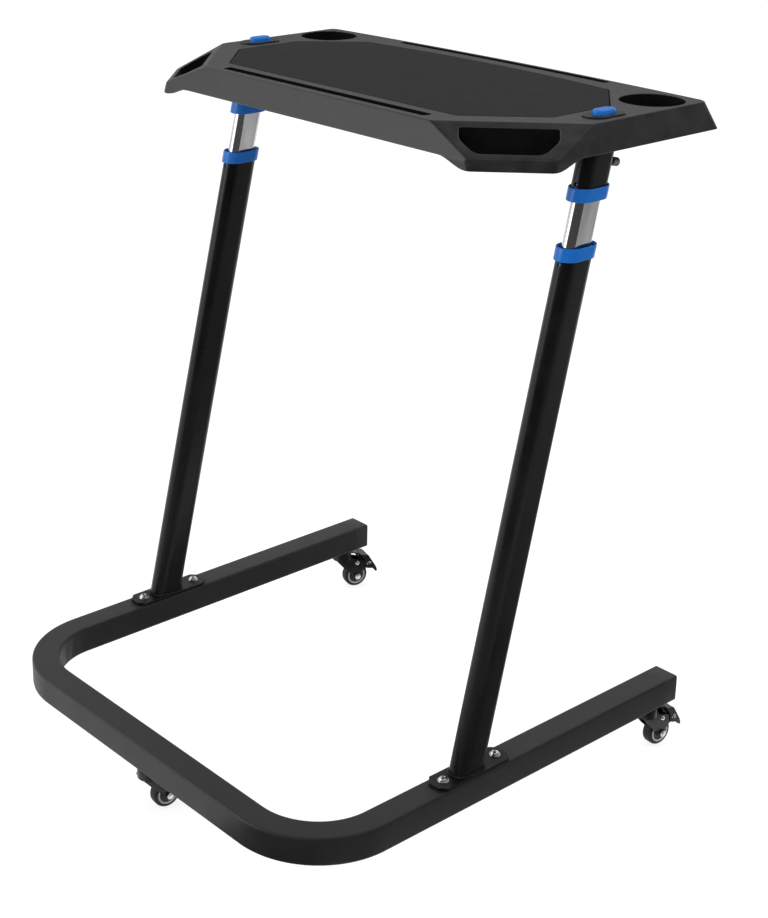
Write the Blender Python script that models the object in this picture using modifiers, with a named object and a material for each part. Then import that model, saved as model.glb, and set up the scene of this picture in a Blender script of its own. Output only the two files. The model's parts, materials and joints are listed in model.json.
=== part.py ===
"""Standing fitness desk on casters, for use over an exercise bike or treadmill.

A square tube bent to a U carries two leaning telescopic posts, each with a lockable gas spring,
and the posts carry a moulded top with a mat, cup holders, slots and hand-holds. Metres, +Z up.
The floor is at Z 0, the U opens towards +Y, where the rider is, and the piece's box is centred
on X 0, Y 0.
"""
import math

import bmesh
import bpy
from mathutils import Matrix, Vector

# Clearances between pieces
GAP = 0.0003
SLIDING_GAP = 0.0004

# Base frame: one square tube bent to a U
BASE_WIDTH = 0.700
BASE_DEPTH = 0.700
BASE_TUBE = 0.0400
BASE_WALL = 0.0015
BASE_EDGE_RADIUS = 0.0035
BEND_RADIUS = 0.130
BEND_STEPS = 7
BASE_CLEARANCE = 0.0708

# Plastic end caps of the arms
CAP_LENGTH = 0.028
CAP_PLUG = 0.012
CAP_WALL = 0.0025

# Base plates under the posts and their domed bolts
PLATE_LENGTH = 0.130
PLATE_WIDTH = 0.0370
PLATE_THICKNESS = 0.004
PLATE_CORNER = 0.010
PLATE_AFT = 0.006
BOLT_SPACING = 0.0955
BOLT_RADIUS = 0.003
BOLT_LENGTH = 0.014
BOLT_HEAD_RADIUS = 0.0062
BOLT_HEAD_HEIGHT = 0.0050
BOLT_SOCKET_RADIUS = 0.0024
BOLT_SOCKET_DEPTH = 0.0025

# Posts: flat-oval telescopic tubes, long side along the lean
POST_TILT = 13.0
POST_SETBACK = 0.290
POST_LONG = 0.0504
POST_SHORT = 0.0304
POST_WALL = 0.0015
LOWER_TUBE_LENGTH = 0.6945
INNER_LONG = 0.0428
INNER_SHORT = 0.0228
INNER_WALL = 0.0015
INNER_INSERTED = 0.330
INNER_IN_SOCKET = 0.078
EXTENSION = 0.057
UPPER_TUBE_LENGTH = 0.0836
OVAL_STEPS = 5

# Blue collars, the lower one with a liner in the tube
COLLAR_PROUD = 0.003
COLLAR_HEIGHT = 0.017
COLLAR_WEB = 0.003
COLLAR_EDGE = 0.0008
LINER_LENGTH = 0.040
BUSH_LENGTH = 0.030
BUSH_LIP = 0.002
SNAP_HOLE_RADIUS = 0.0025
SNAP_HOLE_DISTANCE = 0.0042

# Clamp screws behind the upper tubes
CLAMP_HEIGHT = 0.047
CLAMP_HEAD_RADIUS = 0.0058
CLAMP_HEAD_LENGTH = 0.0150
CLAMP_SHANK_RADIUS = 0.003
CLAMP_SHANK_LENGTH = 0.011
CLAMP_SOCKET_RADIUS = 0.0028
CLAMP_SOCKET_DEPTH = 0.004

# Lockable gas springs
SPRING_RADIUS = 0.009
SPRING_LENGTH = 0.345
SPRING_WALL = 0.0012
SPRING_EDGE = 0.0012
SPRING_GLAND = 0.012
SEAT_HEIGHT = 0.040
SEAT_FLOOR = 0.010
ROD_RADIUS = 0.004
ROD_IN_CYLINDER = 0.245
PISTON_LENGTH = 0.012
ROD_BORE = 0.0019
ROD_BORE_DEPTH = 0.016
HEAD_STATION = 0.444
HEAD_LENGTH = 0.026
ROD_IN_HEAD = 0.016
PUSH_ROD_RADIUS = 0.0025
PUSH_ROD_IN_HEAD = 0.0045
NEEDLE_RADIUS = 0.0014
NEEDLE_LENGTH = 0.012

# Buttons and bezels on the top, above the posts
BUTTON_LENGTH = 0.034
BUTTON_WIDTH = 0.0185
BUTTON_RISE = 0.0082
BUTTON_EDGE = 0.0018
BUTTON_SIDE_GAP = 0.0004
BUTTON_END_GAP = 0.0012
BUTTON_FLANGE = 0.0013
BUTTON_FLANGE_DEPTH = 0.002
BUTTON_HUB_RADIUS = 0.006
BUTTON_HUB_DEPTH = 0.0105
BEZEL_LENGTH = 0.064
BEZEL_WIDTH = 0.034
BEZEL_RISE = 0.0024
BEZEL_EDGE = 0.0009
BEZEL_LIP = 0.0016
BEZEL_SLEEVE = 0.0100
BEZEL_SLEEVE_WALL = 0.0022

# Moulded top. V runs from the near bottom edge of its skirt towards the rider
DESK_OVERHANG = 0.020
DESK_DEPTH = 0.380
DESK_BOW = 0.012
DESK_POST_SETBACK = 0.1957
SKIRT_HEIGHT = 0.0350
SKIRT_TAPER = 0.0142
TOP_THICKNESS = 0.004
SKIRT_THICKNESS = 0.003
FAR_CORNER_RADIUS = 0.016
TOP_EDGE = 0.0018
MIRROR_OVERLAP = 0.030

# Sloping corners with their lips; a cut is how far in from the top's widest a corner's line starts
CORNER_TOP_CUT = 0.1648
CORNER_RIDGE_CUT = 0.077
CORNER_RIDGE_DROP = 0.0285
CORNER_THICKNESS = 0.004
LIP_TAPER = 0.35
LIP_DROP = 0.010
LIP_CURVE_START_CUT = 0.120
LIP_CURVE_END_CUT = 0.079
LIP_CURVE_STEPS = 8

# Hand-holds in the sloping corners: along the corner's line, and out from its top edge
HOLD_TOP_WIDTH = 0.122
HOLD_BOTTOM_WIDTH = 0.082
HOLD_TOP_INSET = 0.0100
HOLD_SHOULDER_INSET = 0.031
HOLD_BOTTOM_INSET = 0.0555
HOLD_WALL = 0.0028
HOLD_WALL_DEPTH = 0.020

# Mat, an octagon let into the top; its corners' places are measured in from the top's widest
MAT_NEAR = 0.056
MAT_FAR_MARGIN = 0.037
MAT_BOW = 0.014
MAT_NEAR_CUT = 0.148
MAT_FAR_CUT = 0.140
MAT_SIDE_MARGIN = 0.068
MAT_SIDE_NEAR = 0.138
MAT_SIDE_FAR = 0.245
MAT_CORNER_RADIUS = 0.012
MAT_THICKNESS = 0.0018
MAT_SIDE_GAP = 0.0010

# Slots in the near and far borders
SLOT_END_MARGIN = 0.173
SLOT_NEAR = 0.026
SLOT_NEAR_WIDTH = 0.015
SLOT_FAR_MARGIN = 0.0065
SLOT_FAR_WIDTH = 0.012
SLOT_DEPTH = 0.010
SLOT_WALL = 0.002

# Cup holders
CUP_FROM_SIDE = 0.061
CUP_V = 0.316
CUP_RADIUS = 0.042
CUP_BOTTOM_RADIUS = 0.038
CUP_DEPTH = 0.030
CUP_WALL = 0.0024
CUP_STEPS = 20

# Ribs and bosses under the top, and the mounting plates on the bosses
RIB_THICKNESS = 0.0024
RIB_DEPTH = 0.014
RIBS_ALONG = (0.110, 0.262)
RIB_PLATE_GAP = 0.010
BOSS_RADIUS = 0.0052
BOSS_HEIGHT = 0.008
SCREW_RADIUS = 0.0020
SOCKET_PLATE_THICKNESS = 0.003
SOCKET_PLATE_LENGTH = 0.100
SOCKET_PLATE_OUTER = 0.021
SOCKET_PLATE_INNER = 0.060
SOCKET_PLATE_CORNER = 0.008
SCREW_AHEAD = 0.0405
SCREW_INBOARD = 0.048
SCREW_INBOARD_AHEAD = 0.030
WELL_LENGTH = 0.034
WELL_WIDTH = 0.018

# Casters; each one's frame has its stem on Z and trails towards its +Y
CASTER_INSET = 0.0405
CASTER_TRAIL = 0.024
FRONT_CASTER_TURN = -6.0
LEFT_CASTER_TURN = -17.0
RIGHT_CASTER_TURN = -5.0
WHEEL_RADIUS = 0.0205
WHEEL_WIDTH = 0.0170
TREAD_DEPTH = 0.0050
TREAD_EDGE = 0.0030
HUB_FACE_RADIUS = 0.0105
HUB_FACE_DEPTH = 0.0012
AXLE_RADIUS = 0.003
AXLE_NUT_RADIUS = 0.0050
AXLE_NUT_HEIGHT = 0.0036
FORK_GAP = 0.0012
FORK_THICKNESS = 0.0020
FORK_EYE_RADIUS = 0.0080
CROWN_RADIUS = 0.0162
CROWN_TOP_RADIUS = 0.0150
CROWN_HEIGHT = 0.0140
CROWN_SHOULDER = 0.0030
RACE_RADIUS = 0.0125
RACE_THICKNESS = 0.0026
STEM_RADIUS = 0.004
STEM_HEAD_RADIUS = 0.0068
STEM_HEAD_HEIGHT = 0.0024
STEM_RISE = 0.014
STEM_NUT_RADIUS = 0.0085
STEM_NUT_HEIGHT = 0.006
RIVET_RADIUS = 0.0016
RIVET_HEAD_RADIUS = 0.0040
RIVET_HEAD_HEIGHT = 0.0016
TIE_RIVET_HEIGHT = 0.0436
BRAKE_AFT = 0.0452
BRAKE_HEIGHT = 0.0400
EAR_RADIUS = 0.0034
PEDAL_REACH = 0.0608
PEDAL_TOP_AFT = 0.0275
PEDAL_TOP_HEIGHT = 0.0640
PEDAL_BEND_AFT = 0.0390
PEDAL_BEND_HEIGHT = 0.0620
PEDAL_KNEE_AFT = 0.0580
PEDAL_KNEE_HEIGHT = 0.0286
PEDAL_TAIL_HEIGHT = 0.0188
PEDAL_TAIL = 0.0030
PEDAL_PLATE = 0.0020
PEDAL_CHEEK = 0.0014
PEDAL_SLITS = (-0.0055, 0.0, 0.0055)
PEDAL_SLIT_WIDTH = 0.0018
CAM_RADIUS = 0.0050
CAM_REACH = 0.0078
CAM_ANGLE = 12.0
BRAKE_GAP = 0.0006

# Places that follow from the sizes
HUB_RADIUS = WHEEL_RADIUS - TREAD_DEPTH
FORK_INNER = WHEEL_WIDTH / 2 + FORK_GAP
FORK_OUTER = FORK_INNER + FORK_THICKNESS
PEDAL_HALF_WIDTH = FORK_OUTER + GAP + PEDAL_CHEEK
LEFT_TURN = math.radians(LEFT_CASTER_TURN)
OVERALL_DEPTH = (BASE_DEPTH - CASTER_INSET + PEDAL_REACH * math.cos(LEFT_TURN)
                 - PEDAL_HALF_WIDTH * math.sin(LEFT_TURN))
FRONT_Y = -OVERALL_DEPTH / 2
ARM_X = (BASE_WIDTH - BASE_TUBE) / 2
DESK_HALF = BASE_WIDTH / 2 + DESK_OVERHANG
BASE_TOP = BASE_CLEARANCE + BASE_TUBE
TILT = math.radians(POST_TILT)
FOOT_Z = BASE_TOP + GAP + PLATE_THICKNESS + GAP
FOOT_Y = FRONT_Y + POST_SETBACK
LOWER_COLLAR_TOP = LOWER_TUBE_LENGTH + GAP + COLLAR_WEB
UPPER_COLLAR_FOOT = LOWER_COLLAR_TOP + EXTENSION
UPPER_TUBE_FOOT = UPPER_COLLAR_FOOT + COLLAR_WEB + GAP
SOCKET_TOP = UPPER_TUBE_FOOT + UPPER_TUBE_LENGTH
INNER_FOOT = LOWER_COLLAR_TOP - INNER_INSERTED
INNER_TOP = UPPER_COLLAR_FOOT + INNER_IN_SOCKET
SOCKET_PLATE_Z = FOOT_Z + SOCKET_TOP * math.cos(TILT) + GAP
SOCKET_PLATE_DEPTH = TOP_THICKNESS + BOSS_HEIGHT + GAP
DESK_TOP_Z = SOCKET_PLATE_Z + SOCKET_PLATE_THICKNESS + SOCKET_PLATE_DEPTH
NEAR_Y = FOOT_Y + SOCKET_TOP * math.sin(TILT) - DESK_POST_SETBACK
AXIS_TOP_Y = FOOT_Y + (DESK_TOP_Z - FOOT_Z) * math.tan(TILT)
BUTTON_V = AXIS_TOP_Y - NEAR_Y
CORNER_TOP_LINE = DESK_HALF - CORNER_TOP_CUT
CORNER_RIDGE_LINE = DESK_HALF - CORNER_RIDGE_CUT
LIP_CURVE_START = DESK_HALF - LIP_CURVE_START_CUT
LIP_CURVE_END = DESK_HALF - LIP_CURVE_END_CUT
CORNER_SLOPE = CORNER_RIDGE_DROP / (CORNER_RIDGE_LINE - CORNER_TOP_LINE)
CORNER_MIDDLE = CORNER_TOP_CUT / 2
MAT_NEAR_HALF = DESK_HALF - MAT_NEAR_CUT
MAT_FAR_HALF = DESK_HALF - MAT_FAR_CUT
MAT_HALF_WIDTH = DESK_HALF - MAT_SIDE_MARGIN
SLOT_HALF_LENGTH = DESK_HALF - SLOT_END_MARGIN
CUP_X = DESK_HALF - CUP_FROM_SIDE
OUTER_RIB = ARM_X - SOCKET_PLATE_INNER - RIB_PLATE_GAP
RIBS_ACROSS = (0.0, OUTER_RIB / 2, OUTER_RIB)
CROWN_TOP = BASE_CLEARANCE - GAP - RACE_THICKNESS - GAP
CROWN_FOOT = CROWN_TOP - CROWN_HEIGHT
BLADE = 0.1
ALONG_X = Matrix.Rotation(math.pi / 2, 4, "Y")
ALONG_Y = Matrix.Rotation(-math.pi / 2, 4, "X")
CUP_PLACE = Matrix.Translation((CUP_X, CUP_V, 0))
UPRIGHT = Matrix(((0, 0, 1, 0), (1, 0, 0, 0), (0, 1, 0, 0), (0, 0, 0, 1)))


def clear_scene():
    for obj in list(bpy.data.objects):
        bpy.data.objects.remove(obj)


def collection(name):
    made = bpy.data.collections.new(name)
    bpy.context.scene.collection.children.link(made)
    return made


def finish(name, colour, roughness, metallic=0.0):
    """A Principled material with one colour, given in linear values."""
    made = bpy.data.materials.new(name)
    made.use_nodes = True
    shader = made.node_tree.nodes["Principled BSDF"]
    shader.inputs["Base Color"].default_value = (*colour, 1.0)
    shader.inputs["Roughness"].default_value = roughness
    shader.inputs["Metallic"].default_value = metallic
    made.diffuse_color = (*colour, 1.0)
    return made


def empty(name, location=(0, 0, 0), rotation=(0, 0, 0), parent=None):
    made = bpy.data.objects.new(name, None)
    made.location = location
    made.rotation_euler = rotation
    made.parent = parent
    PARTS.objects.link(made)
    return made


def place(name, mesh, look, parent=None, location=(0, 0, 0)):
    """Add a mesh as one named piece with its material."""
    mesh.name = name
    mesh.materials.clear()
    mesh.materials.append(look)
    made = bpy.data.objects.new(name, mesh)
    made.parent = parent
    made.location = location
    PARTS.objects.link(made)
    return made


def helper(name, mesh, parent=None, location=(0, 0, 0)):
    """Add a mesh that only cuts or joins others."""
    made = bpy.data.objects.new(name, mesh)
    made.parent = parent
    made.location = location
    made.hide_render = True
    made.display_type = "WIRE"
    CUTTERS.objects.link(made)
    return made


def boolean(target, operand, operation="DIFFERENCE"):
    modifier = target.modifiers.new(operation.lower(), "BOOLEAN")
    modifier.operation = operation
    modifier.object = operand
    modifier.solver = "EXACT"


def bevel(target, width, segments=1, angle=40.0):
    modifier = target.modifiers.new("edge", "BEVEL")
    modifier.width = width
    modifier.segments = segments
    modifier.limit_method = "ANGLE"
    modifier.angle_limit = math.radians(angle)


def to_mesh(bm, matrix=None):
    if matrix is not None:
        bm.transform(matrix)
    bmesh.ops.recalc_face_normals(bm, faces=bm.faces)
    if bm.calc_volume(signed=True) < 0:
        bmesh.ops.reverse_faces(bm, faces=bm.faces)
    mesh = bpy.data.meshes.new("shape")
    bm.to_mesh(mesh)
    bm.free()
    return mesh


def smooth(mesh, angle=32.0):
    mesh.shade_smooth()
    mesh.set_sharp_from_angle(angle=math.radians(angle))
    return mesh


def rounded(corners, steps=4):
    """Outline through (x, y, radius) corners, each rounded by an arc of its radius."""
    points = []
    for index, (x, y, radius) in enumerate(corners):
        corner = Vector((x, y))
        before = (Vector(corners[index - 1][:2]) - corner).normalized()
        after = (Vector(corners[(index + 1) % len(corners)][:2]) - corner).normalized()
        if radius == 0:
            points.append((x, y))
            continue
        half = math.acos(max(-1.0, min(1.0, before.dot(after)))) / 2
        reach = radius / math.tan(half)
        centre = corner + (before + after).normalized() * radius / math.sin(half)
        start = corner + before * reach - centre
        turn = (corner + after * reach - centre).angle_signed(start)
        for step in range(steps + 1):
            angle = turn * step / steps
            spoke = Matrix.Rotation(angle, 2) @ start
            points.append(tuple(centre + spoke))
    return points


def stadium(length, width, steps=OVAL_STEPS):
    """Flat oval, its long side along Y."""
    straight = (length - width) / 2
    points = []
    for end in (0, 1):
        for step in range(steps + 1):
            angle = math.pi * (end + step / steps)
            points.append((width / 2 * math.cos(angle),
                           width / 2 * math.sin(angle) + straight * (1 - 2 * end)))
    return points


def extruded(outlines, low, high, matrix=None):
    """Flat outlines as a filled 2D curve, from height low to high; later outlines are holes."""
    curve = bpy.data.curves.new("outline", "CURVE")
    curve.dimensions = "2D"
    curve.fill_mode = "BOTH"
    curve.extrude = (high - low) / 2
    for outline in outlines:
        spline = curve.splines.new("POLY")
        spline.points.add(len(outline) - 1)
        for point, (x, y) in zip(spline.points, outline):
            point.co = (x, y, 0, 1)
        spline.use_cyclic_u = True
    holder = bpy.data.objects.new("outline", curve)
    bpy.context.scene.collection.objects.link(holder)
    graph = bpy.context.evaluated_depsgraph_get()
    bm = bmesh.new()
    raw = bpy.data.meshes.new_from_object(holder.evaluated_get(graph))
    bm.from_mesh(raw)
    bpy.data.meshes.remove(raw)
    bpy.data.objects.remove(holder)
    bpy.data.curves.remove(curve)
    bmesh.ops.remove_doubles(bm, verts=bm.verts, dist=0.00001)
    bmesh.ops.translate(bm, verts=bm.verts, vec=(0, 0, (high + low) / 2))
    return to_mesh(bm, matrix)


def turned(name, profile, look, parent, steps):
    """Turn a profile of (radius, height), given down its outer side, about Z."""
    mesh = bpy.data.meshes.new(name)
    points = [(radius, 0, height) for radius, height in profile]
    mesh.from_pydata(points, [(index, index + 1) for index in range(len(points) - 1)], [])
    made = place(name, mesh, look, parent)
    screw = made.modifiers.new("turn", "SCREW")
    screw.steps = steps
    screw.render_steps = steps
    screw.use_merge_vertices = True
    screw.merge_threshold = 0.00001
    return made


def drag(bm, edges, offset):
    """Carry edges straight on, leaving faces behind, and give the edges they become."""
    result = bmesh.ops.extrude_edge_only(bm, edges=edges)["geom"]
    moved = {item for item in result if isinstance(item, bmesh.types.BMVert)}
    bmesh.ops.translate(bm, verts=list(moved), vec=offset)
    return [item for item in result
            if isinstance(item, bmesh.types.BMEdge) and moved.issuperset(item.verts)]


def swing(bm, edges, centre, angle, steps):
    """Carry edges round an upright axis, leaving faces behind, and give the edges they become."""
    corners = list({vert for edge in edges for vert in edge.verts})
    result = bmesh.ops.spin(bm, geom=corners + edges, cent=centre, axis=(0, 0, 1), angle=angle,
                            steps=steps, use_duplicate=False)
    return [item for item in result["geom_last"] if isinstance(item, bmesh.types.BMEdge)]


def oval_turned(profile, length, width, steps=OVAL_STEPS):
    """Carry a closed profile of (offset, height) round a flat oval; offsets point outwards."""
    bm = bmesh.new()
    straight = (length - width) / 2
    verts = [bm.verts.new((width / 2 + offset, straight, height)) for offset, height in profile]
    edges = [bm.edges.new(pair) for pair in zip(verts, verts[1:] + verts[:1])]
    for end in (1, -1):
        edges = swing(bm, edges, (0, straight * end, 0), math.pi, steps)
        edges = drag(bm, edges, (0, -2 * straight * end, 0))
    bmesh.ops.remove_doubles(bm, verts=bm.verts, dist=0.00001)
    return smooth(to_mesh(bm))


def cylinders(places, radius, low, high, axis="Z", steps=16):
    """Closed cylinders at (x, y, z) places, running from low to high along an axis."""
    bm = bmesh.new()
    turn = {"X": ALONG_X, "Y": ALONG_Y, "Z": Matrix()}[axis]
    middle = Matrix.Translation((0, 0, (low + high) / 2))
    for position in places:
        bmesh.ops.create_cone(bm, cap_ends=True, segments=steps, radius1=radius, radius2=radius,
                              depth=high - low,
                              matrix=Matrix.Translation(position) @ turn @ middle)
    return smooth(to_mesh(bm))


def boxes(limits):
    """Closed boxes from (low corner, high corner) pairs."""
    bm = bmesh.new()
    for low, high in limits:
        size = Vector(high) - Vector(low)
        middle = (Vector(high) + Vector(low)) / 2
        bmesh.ops.create_cube(bm, size=1, matrix=Matrix.Translation(middle)
                              @ Matrix.Diagonal((*size, 1)))
    return to_mesh(bm)


def loft(rings):
    """Closed solid through rings of equal counts of points, flat ends on the first and last."""
    bm = bmesh.new()
    loops = [[bm.verts.new(point) for point in ring] for ring in rings]
    for low, high in zip(loops, loops[1:]):
        for index in range(len(low)):
            after = (index + 1) % len(low)
            bm.faces.new((low[index], low[after], high[after], high[index]))
    bm.faces.new(loops[0])
    bm.faces.new(loops[-1])
    return to_mesh(bm)


def square_loop(side, radius, steps=2):
    """Points (across, up) of a rounded square centred on the origin."""
    half = side / 2
    return rounded([(half, half, radius), (-half, half, radius), (-half, -half, radius),
                    (half, -half, radius)], steps)


def u_bar(side, edge, end_y, edge_steps=2):
    """Square bar along one arm, round the bend, across, round again and back to end_y."""
    bm = bmesh.new()
    bend_y = FRONT_Y + BEND_RADIUS
    radius = BEND_RADIUS - BASE_TUBE / 2
    verts = [bm.verts.new((ARM_X + across, end_y, BASE_CLEARANCE + BASE_TUBE / 2 + up))
             for across, up in square_loop(side, edge, edge_steps)]
    edges = [bm.edges.new(pair) for pair in zip(verts, verts[1:] + verts[:1])]
    edges = drag(bm, edges, (0, bend_y - end_y, 0))
    edges = swing(bm, edges, (ARM_X - radius, bend_y, 0), -math.pi / 2, BEND_STEPS)
    edges = drag(bm, edges, (-2 * (ARM_X - radius), 0, 0))
    edges = swing(bm, edges, (radius - ARM_X, bend_y, 0), -math.pi / 2, BEND_STEPS)
    drag(bm, edges, (0, end_y - bend_y, 0))
    bmesh.ops.holes_fill(bm, edges=[edge for edge in bm.edges if edge.is_boundary], sides=0)
    return smooth(to_mesh(bm))


def base_frame():
    """The square tube, with holes for the bolts and the caster stems."""
    open_y = FRONT_Y + BASE_DEPTH - CAP_LENGTH
    bore = BASE_TUBE - 2 * BASE_WALL
    frame = place("base_frame", u_bar(BASE_TUBE, BASE_EDGE_RADIUS, open_y), BLACK_PAINT)
    boolean(frame, helper("bore", u_bar(bore, BASE_EDGE_RADIUS - BASE_WALL, open_y + CAP_LENGTH, 1)))
    bolts = [(side * ARM_X, FOOT_Y + PLATE_AFT + end * BOLT_SPACING / 2, BASE_TOP)
             for side in SIDES for end in (-1, 1)]
    stems = [(x, y, BASE_CLEARANCE) for x, y, turn in CASTER_PLACES.values()]
    reach = 2 * BASE_WALL
    boolean(frame, helper("bolt_holes", cylinders(bolts, BOLT_RADIUS + GAP, -reach, reach, "Z", 10)))
    boolean(frame, helper("stem_holes", cylinders(stems, STEM_RADIUS + GAP, -reach, reach, "Z", 12)))


def end_cap(name, side):
    """Cap over the end of an arm: a hollow block with a plug open at the bottom for the stem."""
    tube_end = FRONT_Y + BASE_DEPTH - CAP_LENGTH
    upright = Matrix.Rotation(math.pi / 2, 4, "X")
    to_place = Matrix.Translation((side * ARM_X, 0, BASE_CLEARANCE + BASE_TUBE / 2)) @ upright
    outer = square_loop(BASE_TUBE, BASE_EDGE_RADIUS)
    plug_side = BASE_TUBE - 2 * (BASE_WALL + GAP)
    plug = square_loop(plug_side, BASE_EDGE_RADIUS - BASE_WALL, 1)
    bore = square_loop(plug_side - 2 * CAP_WALL, CAP_WALL / 2, 1)
    far = -(tube_end + CAP_LENGTH)
    near = -(tube_end + GAP)
    cap = place(name, smooth(extruded([outer], far, near, to_place)), BLACK_PLASTIC)
    bevel(cap, BASE_EDGE_RADIUS * 0.6, 1, 60)
    boolean(cap, helper(name + "_plug", extruded([plug], far + CAP_LENGTH / 2, near + CAP_PLUG,
                                                 to_place)), "UNION")
    boolean(cap, helper(name + "_bore", extruded([bore], far + CAP_WALL, near + 2 * CAP_PLUG,
                                                 to_place)))
    floor_z = BASE_CLEARANCE + BASE_WALL + GAP + CAP_WALL
    half = BASE_TUBE / 2
    boolean(cap, helper(name + "_stem_room", boxes([(
        (side * ARM_X - half, tube_end - 2 * CAP_PLUG, BASE_CLEARANCE - half),
        (side * ARM_X + half, tube_end + GAP, floor_z + GAP))])))


def base_plate(name, side):
    half_long, half_wide = PLATE_LENGTH / 2, PLATE_WIDTH / 2
    corners = [(half_wide, half_long, PLATE_CORNER), (-half_wide, half_long, PLATE_CORNER),
               (-half_wide, -half_long, PLATE_CORNER), (half_wide, -half_long, PLATE_CORNER)]
    low = BASE_TOP + GAP
    middle = (side * ARM_X, FOOT_Y + PLATE_AFT, 0)
    plate = place(name, extruded([rounded(corners, 2)], low, low + PLATE_THICKNESS), BLACK_PAINT,
                  None, middle)
    bevel(plate, 0.0008, 1, 60)
    holes = [(0, end * BOLT_SPACING / 2, low) for end in (-1, 1)]
    reach = 2 * PLATE_THICKNESS
    boolean(plate, helper(name + "_holes", cylinders(holes, BOLT_RADIUS + GAP, -reach, reach, "Z", 10),
                          None, middle))


def dome(radius, height, hole, steps=3):
    """Down a domed head with a hole in its crown: (radius, height) points."""
    start = math.asin(hole / radius)
    angles = [start + (math.pi / 2 - start) * step / steps for step in range(steps + 1)]
    return [(radius * math.sin(angle), height * math.cos(angle)) for angle in angles]


def spun(profile, steps, matrix=None):
    """Solid of a profile of (radius, height) that starts and ends on its axis."""
    bm = bmesh.new()
    verts = [bm.verts.new((radius, 0, height)) for radius, height in profile]
    edges = [bm.edges.new(pair) for pair in zip(verts, verts[1:])]
    bmesh.ops.spin(bm, geom=verts + edges, cent=(0, 0, 0), axis=(0, 0, 1), angle=math.tau,
                   steps=steps, use_duplicate=False)
    bmesh.ops.remove_doubles(bm, verts=bm.verts, dist=0.00001)
    return smooth(to_mesh(bm, matrix))


def base_bolt(name, x, y):
    """Domed socket bolt through a base plate into the tube."""
    crown = BOLT_HEAD_HEIGHT - BOLT_SOCKET_DEPTH
    profile = [(0, crown), (BOLT_SOCKET_RADIUS, crown)]
    profile += dome(BOLT_HEAD_RADIUS, BOLT_HEAD_HEIGHT, BOLT_SOCKET_RADIUS)
    profile += [(BOLT_RADIUS, 0), (BOLT_RADIUS, -BOLT_LENGTH), (0, -BOLT_LENGTH)]
    place(name, spun(profile, 10), BRIGHT_STEEL, None, (x, y, FOOT_Z))


def tube_profile(wall, low, high):
    """Closed wall section of an oval tube, outer side first."""
    return [(0, high), (0, low), (-wall, low), (-wall, high)]


def level_cut(target, height, above):
    """Cut what lies above, or below, a level plane off a leaning piece."""
    low, high = (height, height + BLADE) if above else (height - BLADE, height)
    blade = boxes([((-BASE_WIDTH, -BASE_DEPTH, low), (BASE_WIDTH, BASE_DEPTH, high))])
    boolean(target, helper(target.name + "_cut", blade))


def levelled(mesh, low, high):
    """Slide what lies between two stations along the post, so that its ends come out level."""
    for vert in mesh.vertices:
        if low - GAP < vert.co.z < high + GAP:
            vert.co.z += vert.co.y * math.tan(TILT)
    return mesh


def post_lower(side_name, post):
    """Lower tube, its blue collar with the liner, and the seat of the gas spring."""
    run_out = POST_LONG * math.tan(TILT)
    top = LOWER_COLLAR_TOP
    foot = top - COLLAR_HEIGHT
    tube = place("lower_tube_" + side_name, levelled(
        oval_turned(tube_profile(POST_WALL, -run_out, LOWER_TUBE_LENGTH), POST_LONG, POST_SHORT),
        LOWER_TUBE_LENGTH, LOWER_TUBE_LENGTH), BLACK_PAINT, post)
    level_cut(tube, FOOT_Z, False)
    snap = foot - run_out / 2 - SNAP_HOLE_DISTANCE
    boolean(tube, helper("snap_hole_" + side_name, cylinders(
        [(0, -POST_LONG / 2, snap)], SNAP_HOLE_RADIUS, -0.004, 0.006, "Y", 10), post))
    web = LOWER_TUBE_LENGTH + GAP
    bore = -(POST_LONG - INNER_LONG) / 2 + SLIDING_GAP
    liner = -POST_WALL - GAP
    profile = [(bore, top), (COLLAR_PROUD - COLLAR_EDGE, top), (COLLAR_PROUD, top - COLLAR_EDGE),
               (COLLAR_PROUD, foot + COLLAR_EDGE), (COLLAR_PROUD - COLLAR_EDGE, foot),
               (GAP, foot), (GAP, web), (liner, web), (liner, web - LINER_LENGTH),
               (bore, web - LINER_LENGTH)]
    place("lower_collar_" + side_name, levelled(oval_turned(profile, POST_LONG, POST_SHORT),
                                                web - LINER_LENGTH, top), BLUE_PLASTIC, post)
    inside = POST_WALL + GAP
    block = stadium(POST_LONG - 2 * inside, POST_SHORT - 2 * inside)
    seat = place("spring_seat_" + side_name, smooth(extruded([block], -run_out, SEAT_HEIGHT)),
                 BLACK_PLASTIC, post)
    level_cut(seat, FOOT_Z, False)
    boolean(seat, helper("spring_pocket_" + side_name, cylinders(
        [(0, 0, 0)], SPRING_RADIUS + GAP, SEAT_FLOOR, 2 * SEAT_HEIGHT, "Z", 20), post))


def gas_spring(side_name, post):
    """Cylinder in its seat, and the rod that stands out of its gland."""
    foot = SEAT_FLOOR + GAP
    top = foot + SPRING_LENGTH
    bore = SPRING_RADIUS - SPRING_WALL
    gland = ROD_RADIUS + GAP
    turned("gas_cylinder_" + side_name,
           [(0, foot + SPRING_WALL), (bore, foot + SPRING_WALL), (bore, top - SPRING_GLAND),
            (gland, top - SPRING_GLAND), (gland, top), (SPRING_RADIUS - SPRING_EDGE, top),
            (SPRING_RADIUS, top - SPRING_EDGE), (SPRING_RADIUS, foot + SPRING_EDGE),
            (SPRING_RADIUS - SPRING_EDGE, foot), (0, foot)], BLACK_PAINT, post, steps=14)
    low = top - ROD_IN_CYLINDER
    high = HEAD_STATION + ROD_IN_HEAD
    piston = bore - GAP
    turned("gas_rod_" + side_name,
           [(0, high - ROD_BORE_DEPTH), (ROD_BORE, high - ROD_BORE_DEPTH), (ROD_BORE, high),
            (ROD_RADIUS, high), (ROD_RADIUS, low), (piston, low), (piston, low - PISTON_LENGTH),
            (0, low - PISTON_LENGTH)], CHROME, post, steps=12)


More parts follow.
